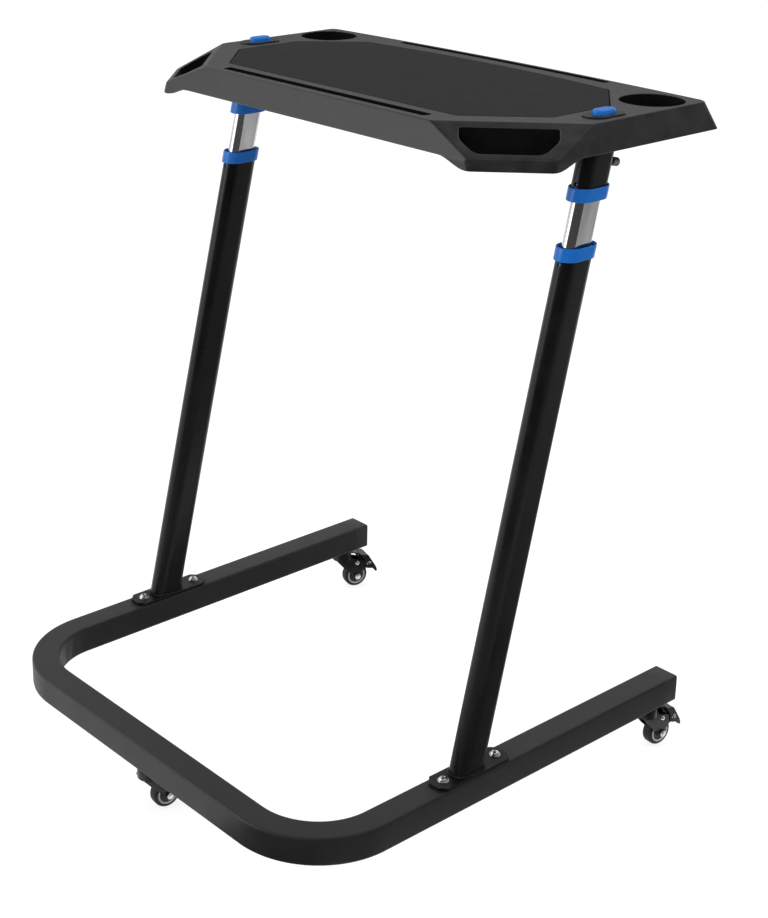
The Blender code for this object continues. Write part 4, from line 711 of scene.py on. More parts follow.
def softened(node_name, name, look, body, width, segments=2, angle=30.0):
    """Stands for a solid with a merged copy of it whose edges are rounded."""
    source = frame["nodes"][node_name]
    mesh = source.data.copy()
    mesh.name = name
    bm = bmesh.new()
    bm.from_mesh(mesh)
    bmesh.ops.remove_doubles(bm, verts=bm.verts, dist=0.000005)
    bmesh.ops.dissolve_limit(bm, angle_limit=math.radians(0.6), verts=bm.verts, edges=bm.edges)
    bm.to_mesh(mesh)
    bm.free()
    mesh.shade_smooth()
    mesh.set_sharp_from_angle(angle=math.radians(angle))
    mesh.materials.clear()
    mesh.materials.append(look)
    made = placed(name, mesh)
    rounding = made.modifiers.new("rounded edges", "BEVEL")
    rounding.width = width
    rounding.segments = segments
    rounding.limit_method = "ANGLE"
    rounding.angle_limit = math.radians(angle)
    rounding.use_clamp_overlap = True
    graph = bpy.context.evaluated_depsgraph_get()
    made.data = bpy.data.meshes.new_from_object(made.evaluated_get(graph))
    made.modifiers.remove(rounding)
    mark_edges(made.data)
    even_normals(made)
    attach(made, body)
    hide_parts(node_name)
    return made


def base_path():
    """Middle line of the U in plan with its outward direction and its place in a bend: down one
    arm, a quarter circle of R (cos, -sin), across, another quarter circle and back up."""
    radius = BEND_RADIUS - TUBE / 2
    bend_y = FRONT_Y + BEND_RADIUS
    turn = np.linspace(0, math.pi / 2, 99)
    centre = ARM_X - radius
    arm_y = np.linspace(TUBE_END, bend_y, 14)[:-1]
    arm = np.stack([np.full_like(arm_y, ARM_X), arm_y], 1)
    arc = np.stack([centre + radius * np.cos(turn), bend_y - radius * np.sin(turn)], 1)
    across_x = np.linspace(centre, 0, 9)[1:]
    across = np.stack([across_x, np.full_like(across_x, FRONT_Y + TUBE / 2)], 1)
    half = np.concatenate([arm, arc, across])
    out = np.concatenate([np.tile([1.0, 0.0], (len(arm), 1)),
                          np.stack([np.cos(turn), -np.sin(turn)], 1),
                          np.tile([0.0, -1.0], (len(across), 1))])
    bend = np.concatenate([np.zeros(len(arm)), turn / (math.pi / 2), np.zeros(len(across))])
    mirror = np.array([-1.0, 1.0])
    return (np.concatenate([half, (half * mirror)[-2::-1]]),
            np.concatenate([out, (out * mirror)[-2::-1]]),
            np.concatenate([bend, bend[-2::-1]]))


def base_tube():
    """Rounded square carried along the U, outside one way and inside back. In a bend the inner face
    is pushed in by depth (1 - cos(2 pi n s)) / 2 times sin(pi s) and faded to its edges."""
    plan, out, bend = base_path()
    up = np.tile([0.0, 0.0, 1.0], (len(plan), 1))
    origins, sides = levelled(plan, TUBE_MIDDLE), levelled(out, 0.0)

    def section(side, radius):
        """Rounded square with extra points up its inner face."""
        half = side / 2
        loop = oval(half, half, radius, 4)[0]
        face = np.linspace(half - radius, radius - half, 13)[1:-1]
        inner = np.stack([np.full_like(face, -half), face], 1)
        return np.concatenate([loop[:10], inner, loop[10:]])

    outer = np.broadcast_to(section(TUBE, TUBE_EDGE), (len(plan), 31, 2)).copy()
    ridge = (1 - np.cos(math.tau * WRINKLES * bend)) / 2 * np.sin(math.pi * bend) ** 0.6
    level = outer[..., 1] / (TUBE / 2 - TUBE_EDGE)
    fade = np.clip(1 - level ** 2, 0, 1) ** 0.7 * (outer[..., 0] < -TUBE / 2 + 1e-6)
    outer[..., 0] += WRINKLE_DEPTH * ridge[:, None] * fade
    flat = 0.0004 * np.sin(math.pi * bend)[:, None] * np.clip(1 - (outer[..., 0] / (TUBE / 2)) ** 2,
                                                              0, 1)
    outer[..., 1] -= flat * np.sign(outer[..., 1]) * (np.abs(outer[..., 1]) > TUBE / 2 - 1e-6)
    inner = np.broadcast_to(section(TUBE - 2 * TUBE_WALL, TUBE_EDGE - TUBE_WALL), outer.shape)
    rows = np.concatenate([carried(outer, origins, sides, up),
                           carried(inner, origins, sides, up)[::-1]])
    made = piece("base_tube", net(rows, closed=True), TUBE_PAINT, "base", ["base_frame"])
    return even_normals(made)


def end_caps():
    """Square cap on each arm: a profile of (inset, distance) round the square, a little domed."""
    length = CAP_LENGTH - GAP
    half = TUBE / 2
    profile = bent([(half, 0.0006, 0), (0.0030, 0.0006, 0), (0.0006, 0.0006, 0.0002),
                    (0.0003, 0, 0.0002), (0, 0.0002, 0.0001), (0, length, 0.0016),
                    (half * 0.6, length, 0.002), (half, length - 0.0001, 0)], 6)
    for name, side in SIDES.items():
        place = framed((side * ARM_X, TUBE_END + GAP, TUBE_MIDDLE), (1, 0, 0), (0, 0, 1), (0, 1, 0))
        piece("end_cap_shell_" + name, moved(turned((half, half, TUBE_EDGE), profile, 6), place),
              CAP_PLASTIC, "base", ["end_cap_" + name])


def foot_plates():
    """Clipped plate under each post and its domed socket bolts."""
    thick = FOOT_Z - GAP - PLATE_FOOT
    shape = (PLATE_WIDTH / 2, PLATE_LENGTH / 2, PLATE_CORNER)
    profile = bent([(shape[0], 0, 0), (0, 0, 0.0004), (0, thick, 0.0009), (0.006, thick, 0.002),
                    (shape[0], thick, 0)], 4)
    for name, side in SIDES.items():
        place = shifted(side * ARM_X, FOOT_Y + PLATE_AFT, PLATE_FOOT)
        made = piece("foot_plate_" + name, moved(turned(shape, profile, 1), place), POST_PAINT,
                     "base", ["base_plate_" + name], angle=30)
        even_normals(made)
        for end, shift in (("near", -BOLT_SPACING / 2), ("far", BOLT_SPACING / 2)):
            spot = shifted(side * ARM_X, FOOT_Y + PLATE_AFT + shift, FOOT_Z)
            piece("dome_bolt_%s_%s" % (name, end), moved(dome_bolt(), spot), ZINC, "base",
                  ["base_bolt_%s_%s" % (name, end)])


def hexagon(angle):
    """Radius of a hexagon whose flats are at 1: 1 / cos of the angle from a flat's middle."""
    return 1 / np.cos((angle + math.pi / 6) % (math.pi / 3) - math.pi / 6)


def dome_bolt():
    """Button head on a thin washer: dome of radius (cos, sin), hexagon socket, shank below."""
    head = domed(0.0062, 0.0044, 1.16, 9, 0.0008)
    mouth = [(0.0025, 0.0048), (0.0024, 0.0045)]
    outside = lathed(np.concatenate([[(0, -0.0139), (0.003, -0.0139), (0.003, 0), (0.0074, 0),
                                      (0.0076, 0.0003), (0.0074, 0.0007), (0.0060, 0.0007)], head,
                                     mouth]), 48)
    angle = np.linspace(0, math.tau, 48, endpoint=False)
    flats = 0.00195 * hexagon(angle)
    ring = np.stack([flats * np.cos(angle), flats * np.sin(angle)], 1)
    rim = np.stack([0.0024 * np.cos(angle), 0.0024 * np.sin(angle)], 1)
    rows = np.stack([levelled(rim, 0.0045), levelled(ring, 0.0043), levelled(ring, 0.0022),
                     levelled(np.zeros_like(ring), 0.0018)])
    return joined(outside, net(rows))


def post_frame(side):
    """Frame of a post: its foot's middle on the plate, Z up its axis, Y square to it."""
    across = np.cross(POST_AXIS, (1, 0, 0))
    return framed((side * ARM_X, FOOT_Y, FOOT_Z), (1, 0, 0), across, POST_AXIS)


def cut_level(part, height, below):
    """Slides what lies below, or above, a level plane along the post's axis onto the plane."""
    points, faces = part
    beyond = points[:, 2] < height if below else points[:, 2] > height
    slide = np.where(beyond, (height - points[:, 2]) / POST_AXIS[2], 0)
    return points + slide[:, None] * POST_AXIS, faces


def sheared(part, from_height=None):
    """Level ends on the leaning post: height plus its own Y times the lean's tangent, above a given
    height or everywhere."""
    points, faces = part
    rise = points[:, 1] * POST_AXIS[1] / POST_AXIS[2]
    if from_height is not None:
        rise = np.where(points[:, 2] > from_height, rise, 0)
    return points + rise[:, None] * (0, 0, 1), faces


def domed(radius, height, end=math.pi / 2, steps=6, base=0.0):
    """Profile of a dome, (radius cos, base + height sin), from its rim up to an angle."""
    rise = np.linspace(0, end, steps)
    return np.stack([radius * np.cos(rise), base + height * np.sin(rise)], 1)


def weld_bead(side):
    """Bead round the tube's foot: a ring whose radius ripples with its length, r (1 + a sin), where
    the oval of the tube is stretched along Y by 1 / cos of the lean."""
    steps = 26
    half = POST_SHORT / 2 + 0.0002
    loop = oval(half, POST_LONG / 2 + 0.0002, half, steps)[0]
    gap = np.linspace(-1, 1, 14)[1:-1]
    straight = (POST_LONG - POST_SHORT) / 2
    left = np.stack([np.full_like(gap, -half), -gap * straight], 1)
    right = np.stack([np.full_like(gap, half), gap * straight], 1)
    loop = np.concatenate([loop[:2 * steps + 2], left, loop[2 * steps + 2:], right])
    loop[:, 1] /= POST_AXIS[2]
    ahead = np.roll(loop, -1, 0) - np.roll(loop, 1, 0)
    length = np.cumsum(np.linalg.norm(loop - np.roll(loop, 1, 0), axis=1))
    out = np.stack([ahead[:, 1], -ahead[:, 0]], 1) / np.linalg.norm(ahead, axis=1)[:, None]
    radius = BEAD_RADIUS * (1 + 0.16 * np.sin(length / BEAD_PITCH * math.tau)
                            + 0.08 * np.sin(length / BEAD_PITCH * 1.7))
    angle = np.linspace(-0.5, math.pi / 2 + 0.5, 8)[None, :]
    reach, rise = radius[:, None] * np.cos(angle), radius[:, None] * np.sin(angle)
    points = np.stack([loop[:, 0:1] + out[:, 0:1] * reach, loop[:, 1:2] + out[:, 1:2] * reach,
                       np.maximum(rise, -0.0002)], -1)
    part = net(points, closed=True, around=False)
    return moved(part, shifted(side * ARM_X, FOOT_Y, FOOT_Z))


def tube(shape, low, high, steps=14):
    """Open tube with the posts' wall between two heights."""
    return turned(shape, [(0, low), (0, high), (POST_WALL, high), (POST_WALL, low)], steps, True)


def snap_peg(made, name, body, place, station, depth):
    """Bores the near side of a post's tube at a station and puts a peg in the bore."""
    spot = place @ framed((0, -POST_LONG / 2, station), (1, 0, 0), (0, 0, 1), (0, -1, 0))
    bored(made, moved(lathed([(0, -depth), (SNAP_BORE, -depth), (SNAP_BORE, 0.004), (0, 0.004)],
                             24), spot))
    peg = lathed([(0, -0.0055), (SNAP_RADIUS, -0.0055), (SNAP_RADIUS, -0.0030),
                  (SNAP_RADIUS - 0.0005, -0.0025), (0, -0.0024)], 24)
    piece(name, moved(peg, spot), BLUE, body)


def collar_rings():
    """The lower and the upper collar in a post's own frame, with level ends."""
    bore = (POST_LONG - INNER_LONG) / 2 - 0.0004
    top, foot = LOWER_COLLAR_TOP, LOWER_COLLAR_TOP - COLLAR_HEIGHT
    proud = -COLLAR_PROUD
    lower = bent([(bore, top - 0.043, 0), (bore, top - 0.0030, 0.0004),
                  (-0.0008, top - 0.0030, 0.0004), (-0.0014, top, 0.0004), (proud, top, 0.0009),
                  (proud, foot, 0.0007), (-GAP, foot, 0), (-GAP, LOWER_TUBE_TOP + GAP, 0),
                  (0.0018, LOWER_TUBE_TOP + GAP, 0), (0.0018, top - 0.043, 0)])
    low, high = UPPER_COLLAR_FOOT, UPPER_COLLAR_FOOT + COLLAR_HEIGHT
    upper = bent([(bore, low, 0.0004), (proud, low, 0.0009), (proud, high, 0.0009),
                  (-0.0014, high, 0.0004), (-0.0006, high - 0.0024, 0.0003),
                  (-GAP, high - 0.0024, 0), (-GAP, low + 0.003, 0), (bore, low + 0.003, 0),
                  (bore, low + 0.0005, 0)])
    return [sheared(turned(OUTER, profile, 14, True)) for profile in (lower, upper)]


def posts():
    """Each post: painted tubes, chromed inner tube, collars, snap pegs, weld bead and screw."""
    lower_ring, upper_ring = collar_rings()
    near_drop = POST_LONG / 2 * POST_AXIS[1] / POST_AXIS[2]
    lower_snap = LOWER_COLLAR_TOP - COLLAR_HEIGHT - near_drop - SNAP_DISTANCE
    upper_snap = UPPER_COLLAR_FOOT + COLLAR_HEIGHT - near_drop + SNAP_DISTANCE
    screw, end = cap_screw()
    clamp = framed((0, POST_LONG / 2 + GAP, UPPER_TUBE_FOOT + CLAMP_HEIGHT - 0.0015), (1, 0, 0),
                   (0, 0, 1), (0, 1, 0))
    for name, side in SIDES.items():
        place = post_frame(side)
        part = moved(sheared(tube(OUTER, -TUBE_OVERRUN, LOWER_TUBE_TOP), LOWER_TUBE_TOP / 2), place)
        made = piece("lower_post_" + name, cut_level(part, FOOT_Z, True), POST_PAINT, "base",
                     ["lower_tube_" + name])
        snap_peg(made, "lower_snap_" + name, "base", place, lower_snap, 0.006)
        piece("lower_weld_" + name, weld_bead(side), POST_PAINT, "base")
        piece("lower_ring_" + name, moved(lower_ring, place), BLUE, "base",
              ["lower_collar_" + name])
        piece("inner_post_" + name, moved(tube(INNER, INNER_FOOT, INNER_TOP, 18), place), CHROME,
              "desk", ["inner_tube_" + name])
        part = moved(sheared(tube(OUTER, UPPER_TUBE_FOOT, UPPER_TUBE_END)), place)
        made = piece("upper_post_" + name, cut_level(part, UPPER_TUBE_TOP, False), POST_PAINT,
                     "desk", ["upper_tube_" + name])
        snap_peg(made, "upper_snap_" + name, "desk", place, upper_snap, 0.0035)
        piece("upper_ring_" + name, moved(upper_ring, place), BLUE, "desk",
              ["upper_collar_" + name])
        piece("cap_screw_" + name, moved(screw, place @ clamp), STEEL, "desk",
              ["clamp_screw_" + name])
        piece("cap_screw_end_" + name, moved(end, place @ clamp), ZINC, "desk")


def cap_screw():
    """Cap screw with a knurled head of radius r (1 + a |sin|) and a thin jam nut, and its end."""
    knurl = lathed(bent([(0.0030, 0.0062, 0), (0.0053, 0.0062, 0.0003), (0.0056, 0.0066, 0.0002),
                         (0.0056, 0.0172, 0.0003), (0.0051, 0.0179, 0.0002)], 3), 144, False,
                   lambda angle: 1 + 0.032 * np.abs(np.sin(12 * angle)))
    crown = lathed(bent([(0.0052, 0.0177, 0), (0.0047, 0.0180, 0.0002), (0.0033, 0.0180, 0.0002),
                         (0.0031, 0.0174, 0)], 3), 144)
    socket = lathed([(0.0027, 0.0174), (0.0027, 0.0140), (0, 0.0136)], 144, False, hexagon)
    nut = lathed(bent([(0, 0.0, 0), (0.0046, 0, 0.0002), (0.0049, 0.0004, 0.0002),
                       (0.0049, 0.0032, 0.0002), (0.0045, 0.0036, 0), (0, 0.0036, 0)], 3), 144,
                 False, hexagon)
    shank = lathed([(0, -0.0109), (0.0027, -0.0109), (0.003, -0.0104), (0.003, 0.0066)], 144)
    return joined(knurl, nut, shank), joined(crown, socket)


def far_edge(x, inset):
    """V of the far edge: straight depth less the inset plus a bow of 1 - (2x / width)^2."""
    return DESK_DEPTH - inset + DESK_BOW * (1 - (2 * x / DESK_WIDTH) ** 2)


def rounded_turn(corner, before, after, steps):
    """Points (1-s)^2 before + 2s(1-s) corner + s^2 after, a row for each row of corners."""
    s = np.linspace(0, 1, steps + 1)[None, :, None]
    return ((1 - s) ** 2 * before[:, None] + 2 * s * (1 - s) * corner[:, None]
            + s ** 2 * after[:, None])


def straight(start, end, shares):
    """Points (1 - s) start + s end for each share s, a row for each row of ends."""
    s = shares[None, :, None]
    return (1 - s) * start[:, None] + s * end[:, None]


def desk_plan(inset, line):
    """Plan of the top at each row, right half then mirrored: near edge, sloping corner where X - V
    is the row's line, side and bowed far edge, with rounded turns between. Gives the loop and the
    columns of the sloping corner's straight run on the right."""
    side = DESK_WIDTH / 2 - inset
    diagonal = np.array([1, 1]) * math.sqrt(0.5)
    one = np.stack([line + inset, inset], 1)
    two = np.stack([side, side - line], 1)
    three = np.stack([side, far_edge(side, inset)], 1)
    middle = np.stack([np.zeros_like(inset), inset], 1)
    reach, far_reach = PLAN_REACH, FAR_REACH
    one_in, one_out = one - (reach, 0), one + reach * diagonal
    two_in, two_out = two - reach * diagonal, two + (0, reach)
    three_in = three - (0, far_reach)
    three_out = np.stack([side - far_reach, far_edge(side - far_reach, inset)], 1)
    bow = three_out[:, 0:1] * np.linspace(1, 0, 25)[None, 1:]
    far = np.stack([bow, far_edge(bow, inset[:, None])], -1)
    runs = [straight(middle, one_in, NEAR_SHARES), rounded_turn(one, one_in, one_out, 6)[:, :-1],
            straight(one_out, two_in, CORNER_SHARES), rounded_turn(two, two_in, two_out, 6)[:, :-1],
            straight(two_out, three_in, SIDE_SHARES), rounded_turn(three, three_in, three_out, 10),
            far]
    half = np.concatenate(runs, 1)
    start = len(NEAR_SHARES) + 6
    mirror = half[:, 1:-1][:, ::-1] * (-1, 1)
    return np.concatenate([half, mirror], 1), (start, start + len(CORNER_SHARES))


def slope_line(depth):
    """X - V of the sloping corner at a depth: creased at its top, straight, then turned to the lip
    with a parabola between the two slopes."""
    crease = CORNER_CREASE * math.tan(math.atan(math.sqrt(2) / CORNER_RUN) / 2)
    plain = CORNER_TOP_LINE + CORNER_RUN * depth
    curved = CORNER_TOP_LINE + math.sqrt(2) * (np.sqrt(2 * CORNER_CREASE * np.maximum(depth, 0))
                                               - crease)
    top = np.where(depth < crease ** 2 * 2 / CORNER_CREASE, curved, plain)
    past = depth - RIDGE_DROP
    bend = np.where(past > RIDGE_BLEND, past,
                    np.clip(past + RIDGE_BLEND, 0, None) ** 2 / (4 * RIDGE_BLEND))
    return top - (CORNER_RUN - LIP_TAPER) * bend


def skirt_inset(depth):
    """How far the skirt lies in from its widest: falls evenly to nothing at the skirt's height."""
    return SKIRT_TAPER * np.maximum(0, 1 - depth / SKIRT_HEIGHT)


def rim_depth(loop):
    """Depth of the rim at each point: level, with an S of (1 - cos) / 2 to a corner's lip."""
    line = np.abs(loop[..., 0]) - loop[..., 1]
    share = np.clip((line - LIP_START) / (LIP_END - LIP_START), 0, 1)
    return SKIRT_HEIGHT + LIP_DROP * (1 - np.cos(math.pi * share)) / 2


def corner_points(points):
    """Plan points of a sloping corner's own (along, out), out square to its top edge."""
    middle = np.array([CORNER_TOP_LINE, 0]) + (DESK_WIDTH / 2 - CORNER_TOP_LINE) / 2
    along, out = points[:, 0], points[:, 1]
    return middle + np.stack([along + out, along - out], 1) * math.sqrt(0.5)


def hold_outline():
    """Hand-hold in the corner's own directions: wide above, narrow and rounded below."""
    return outline([(HOLD_FAR, HOLD_TOP, 0.0035), (HOLD_NEAR, HOLD_TOP, 0.0035),
                    (HOLD_NEAR, HOLD_CHAMFER, 0.0075), (HOLD_NEAR + 0.019, HOLD_FOOT, 0.0095),
                    (HOLD_FAR - 0.019, HOLD_FOOT, 0.0095), (HOLD_FAR, HOLD_CHAMFER, 0.0075)], 10)


def line_corners(x, v, reach):
    """Corners along a line, rounded at its two ends only."""
    last = len(x) - 1
    return [(a, b, reach if index in (0, last) else 0) for index, (a, b) in enumerate(zip(x, v))]


def slot_outline(near):
    """Slot with rounded ends along the near edge, or along the bowed far one."""
    if near:
        low, high = SLOT_NEAR
        return outline([(SLOT_HALF, low, 0.005), (SLOT_HALF, high, 0.005),
                        (-SLOT_HALF, high, 0.005), (-SLOT_HALF, low, 0.005)])
    x = np.linspace(SLOT_HALF, -SLOT_HALF, 15)
    far = line_corners(x, far_edge(x, SLOT_FAR_INSET), 0.004)
    near_side = [(a, b - SLOT_FAR_WIDTH, reach) for a, b, reach in far[::-1]]
    return outline(far + near_side)


def mat_outline():
    """The mat's octagon; its far edge falls by bow (x / half)^2 from its middle."""
    x = np.linspace(MAT_FAR_HALF, -MAT_FAR_HALF, 17)
    far = line_corners(x, far_edge(0, MAT_FAR) - MAT_BOW * (x / MAT_FAR_HALF) ** 2, 0.007)
    side = [(MAT_NEAR_HALF, MAT_NEAR), (MAT_HALF, 0.138), (MAT_HALF, 0.245)]
    corners = [(-x, v) for x, v in side[::-1]] + side
    return outline([(x, v, 0.006) for x, v in corners] + far)


def sunk(loop, profile):
    """Mouth, and sides with floor, of a hollow under a closed line, down a profile."""
    rows = drawn(loop, profile)
    return rows[0], [net(rows), filled(rows[-1])]


def wall_row(at, inner, shrink=0.0, lower=0.0):
    """Row of a wall at a depth that changes along the loop, each column from the two nearest
    plans; the row is then set lower."""
    step = 0.0005
    grid = np.arange(101) * step
    if inner:
        line = np.minimum(slope_line(grid - CORNER_WALL),
                          slope_line(grid) - SKIRT_WALL * math.sqrt(2))
        inset, line = SKIRT_WALL - shrink, line + shrink * math.sqrt(2)
    else:
        inset, line = shrink, slope_line(grid) - shrink * math.sqrt(2)
    loops = desk_plan(skirt_inset(grid) + inset, line)[0]
    place = np.clip(at / step, 0, 99.999)
    below = place.astype(int)
    part = (place - below)[:, None]
    column = np.arange(loops.shape[1])
    return levelled((1 - part) * loops[below, column] + part * loops[below + 1, column],
                    -at - lower)


def desk_shell():
    """Rows of points from the top's rounded edge down the outside, round the rim and up the
    inside, and the first and last columns of the corner at +X."""
    turn = np.linspace(0, math.pi / 2, 7)
    fillet = TOP_EDGE * (1 - np.cos(turn))
    depth = np.concatenate([fillet, np.linspace(TOP_EDGE, RIDGE_DROP - RIDGE_BLEND, 7)[1:],
                            np.linspace(RIDGE_DROP - RIDGE_BLEND, RIDGE_DROP + RIDGE_BLEND, 9)[1:]])
    rounding = np.zeros_like(depth)
    rounding[:7] = TOP_EDGE * (1 - np.sin(turn))
    plan, (start, end) = desk_plan(skirt_inset(depth) + rounding, slope_line(depth))
    upper = raised_rows(plan, -depth)
    widest = np.array([0.040])
    lowest = rim_depth(desk_plan(skirt_inset(widest), slope_line(widest))[0])[0] - RIM_EDGE
    first = RIDGE_DROP + RIDGE_BLEND
    rows = [wall_row(first + (lowest - first) * part, False)
            for part in np.linspace(0, 1, 7)[1:]]
    quarter = np.linspace(0, math.pi / 2, 5)
    rows += [wall_row(lowest, False, RIM_EDGE * (1 - math.cos(angle)), RIM_EDGE * math.sin(angle))
             for angle in quarter[1:]]
    rows += [wall_row(lowest, True, -RIM_EDGE * (1 - math.cos(angle)), RIM_EDGE * math.sin(angle))
             for angle in quarter[::-1]]
    inner_ridge = RIDGE_DROP + CORNER_WALL
    rows += [wall_row(lowest + (inner_ridge - lowest) * part, True) for part in (0.5, 1.0)]
    rows += [wall_row(np.full(upper.shape[1], level), True)
             for level in (0.0318, 0.024, 0.016, 0.009, TOP_THICKNESS + 0.0012, TOP_THICKNESS)]
    return np.concatenate([upper, np.stack(rows)]), start, end


def block_edge(block):
    """Edge of a block of rows and columns of points, as a closed line."""
    return np.concatenate([block[0, :-1], block[:-1, -1], block[-1, :0:-1], block[:0:-1, 0]])


def on_slope_plane(loop, drop):
    """Puts plan points a drop below the sloping face of a corner."""
    return levelled(loop, -(loop[:, 0] - loop[:, 1] - CORNER_TOP_LINE) / CORNER_RUN - drop)


def corner_parts(shell, start, end):
    """The shell less its sloping corner faces, and these faces again, flat round a hand-hold."""
    columns = shell.shape[1]
    left = (columns - end, columns - start)
    inner_rows = (len(shell) - 6, len(shell) - 1)
    points, (faces,) = net(shell)
    row_of, column_of = faces[:, 0] // columns, faces[:, 0] % columns
    in_corner = (((column_of >= start) & (column_of < end))
                 | ((column_of >= left[0]) & (column_of < left[1])))
    on_slope = ((row_of >= SLOPE_ROWS[0]) & (row_of < SLOPE_ROWS[1])
                | (row_of >= inner_rows[0]) & (row_of < inner_rows[1]))
    parts = [(points, [faces[~(in_corner & on_slope)]])]
    hold = corner_points(hold_outline())
    if ((np.roll(hold, -1, 0) - hold)[:, 1] * hold[:, 0]).sum() < 0:
        hold = hold[::-1]
    rows = [on_slope_plane(offset(hold, HOLD_EDGE * (1 - math.sin(angle))),
                           HOLD_EDGE * (1 - math.cos(angle)))
            for angle in np.linspace(0, math.pi / 2, 6)]
    for out, rise in ((0, 0.0006), (0.0006, 0), (HOLD_WALL - 0.0006, 0), (HOLD_WALL, 0.0006)):
        rows.append(levelled(offset(hold, out), HOLD_WALL_FOOT + rise))
    rows.append(on_slope_plane(offset(hold, HOLD_WALL), CORNER_WALL))
    walls = np.stack(rows)
    for sign, (first, last) in ((1, (start, end)), (-1, left)):
        flip = np.array([sign, 1, 1])
        parts.append(net(walls * flip))
        for (low, high), opening in ((SLOPE_ROWS, walls[0]), (inner_rows, walls[-1])):
            block = shell[low:high + 1, first:last + 1]
            parts.append(filled(block_edge(block), opening * flip))
    return parts


def hollow_parts():
    """Slots, the mat's recess, cups and button sleeves: their nets, their mouths in the top and
    those under it."""
    slot_edge = bent([(-0.0012, 0, 0), (0, 0, 0.0009), (0.0004, -SLOT_DEPTH, 0.0018),
                      (0.003, -SLOT_DEPTH, 0)], 4)
    mat_edge = bent([(-0.0008, 0, 0), (0, 0, 0.0006), (0, -MAT_THICKNESS - GAP, 0.0004),
                     (0.001, -MAT_THICKNESS - GAP, 0)], 4)
    tray = [(-SLOT_WALL, -TOP_THICKNESS), (-SLOT_WALL, -SLOT_DEPTH - SLOT_WALL + 0.0006),
            (-SLOT_WALL + 0.0006, -SLOT_DEPTH - SLOT_WALL)]
    parts, top_mouths, under_mouths = [], [], []
    for loop, profile, mouths in ((slot_outline(True), slot_edge, top_mouths),
                                  (slot_outline(True), tray, under_mouths),
                                  (slot_outline(False), slot_edge, top_mouths),
                                  (slot_outline(False), tray, under_mouths),
                                  (mat_outline(), mat_edge, top_mouths)):
        mouth, made = sunk(loop, profile)
        mouths.append(mouth)
        parts += made

    cup = bent([(CUP_RADIUS + CUP_FLARE, 0, 0), (CUP_RADIUS, 0, CUP_FLARE * 0.9),
                (CUP_FLOOR_RADIUS, -CUP_DEPTH, 0.0045), (0.010, -CUP_DEPTH, 0.002),
                (0, -CUP_DEPTH, 0)], 6)
    well = bent([(CUP_RADIUS + CUP_WALL, -TOP_THICKNESS, 0),
                 (CUP_FLOOR_RADIUS + CUP_WALL, -CUP_DEPTH - CUP_WALL, 0.003),
                 (0, -CUP_DEPTH - CUP_WALL, 0)], 6)
    sleeve = oval(0.01345, 0.02200, 0.01345, 8)[0]
    for sign in (1, -1):
        for profile, mouths in ((cup, top_mouths), (well, under_mouths)):
            bowl = moved(lathed(profile, 72), shifted(sign * CUP[0], CUP[1], 0))
            mouths.append(bowl[0][:72])
            parts.append(bowl)
        hole = sleeve + (sign * ARM_X, BUTTON_V)
        rows = np.stack([levelled(hole, 0), levelled(hole, -TOP_THICKNESS)])
        top_mouths.append(rows[0])
        under_mouths.append(rows[-1])
        parts.append(net(rows))
    return parts, top_mouths, under_mouths


def desk_moulding():
    """The moulding: its shell, hollows and ribs, with flat faces between the openings' mouths."""
    shell, start, end = desk_shell()
    hollows, top_mouths, under_mouths = hollow_parts()
    parts = corner_parts(shell, start, end) + hollows
    parts += [filled(shell[0], *top_mouths), filled(shell[-1], *under_mouths)]
    parts += ribs_and_bosses()
    made = piece("desk_moulding", moved(joined(*parts), shifted(0, NEAR_Y, DESK_Z)), TOP_PLASTIC,
                 "desk", ["desk_top"], angle=42)
    # The faces in the hollows take this darker second material: painted shade.
    made.data.materials.append(PAINTED_SHADE_PLASTIC)
    paint_shade_in_hollows(made.data)
    return even_normals(made)


def paint_shade_in_hollows(mesh):
    """Paints shade into the cups, the slots, the hand-holds and the mat's recess: their faces get
    the second, darker material.
    """
    centres = np.empty(3 * len(mesh.polygons))
    mesh.polygons.foreach_get("center", centres)
    x, v, depth = (centres.reshape(-1, 3) * (1, 1, -1) + (0, -NEAR_Y, DESK_Z)).T
    x = np.abs(x)
    from_cup = np.hypot(x - CUP[0], v - CUP[1])
    in_cup = (from_cup < CUP_RADIUS + 0.0001) & (depth > 0.0010) & (depth < CUP_DEPTH + 0.0004)
    far_slot = far_edge(x, SLOT_FAR_INSET) - SLOT_FAR_WIDTH / 2
    in_slot = (np.abs(v - sum(SLOT_NEAR) / 2) < 0.0080) | (np.abs(v - far_slot) < 0.0066)
    in_slot &= (x < SLOT_HALF + 0.0005) & (depth > 0.0003) & (depth < SLOT_DEPTH + 0.0004)
    out = (x - v - CORNER_TOP_LINE) * math.sqrt(0.5)
    along = (x + v - DESK_WIDTH / 2) * math.sqrt(0.5)
    half = (HOLD_FAR - HOLD_NEAR) / 2 + 0.001 - 0.79 * np.maximum(out - HOLD_CHAMFER, 0)
    in_hold = np.abs(along - (HOLD_FAR + HOLD_NEAR) / 2) < half
    in_hold &= (out > HOLD_TOP - 0.0004) & (out < HOLD_FOOT + 0.0004)
    in_hold &= depth > out * math.sqrt(2) / CORNER_RUN + 0.0009
    in_recess = (x < MAT_HALF + 0.0005) & (v > MAT_NEAR - 0.0005) & (x - v < 0.17)
    in_recess &= v < far_edge(0, MAT_FAR) + 0.0005
    in_recess &= (depth > 0.0005) & (depth < MAT_THICKNESS + 0.0006) & (from_cup > 0.046)
    marks = (in_cup | in_slot | in_hold | in_recess).astype(np.int32)
    mesh.polygons.foreach_set("material_index", marks)


def screw_places():
    """Where the mounting plates' screws stand, in the top's own plan."""
    return [(sign * (ARM_X + inboard), POST_V + v) for sign in (1, -1) for inboard, v in SCREWS]


def rib(x_low, x_high, v_low, v_high, top, foot):
    """Closed net of a rib between its plan's limits, with a chamfered foot."""
    corners = ((x_low, v_low), (x_high, v_low), (x_high, v_high), (x_low, v_high))
    loop = outline([(x, v, 0.0005) for x, v in corners], 2)
    return slab(loop, [(0, top), (0, foot + 0.0006), (0.0005, foot)])


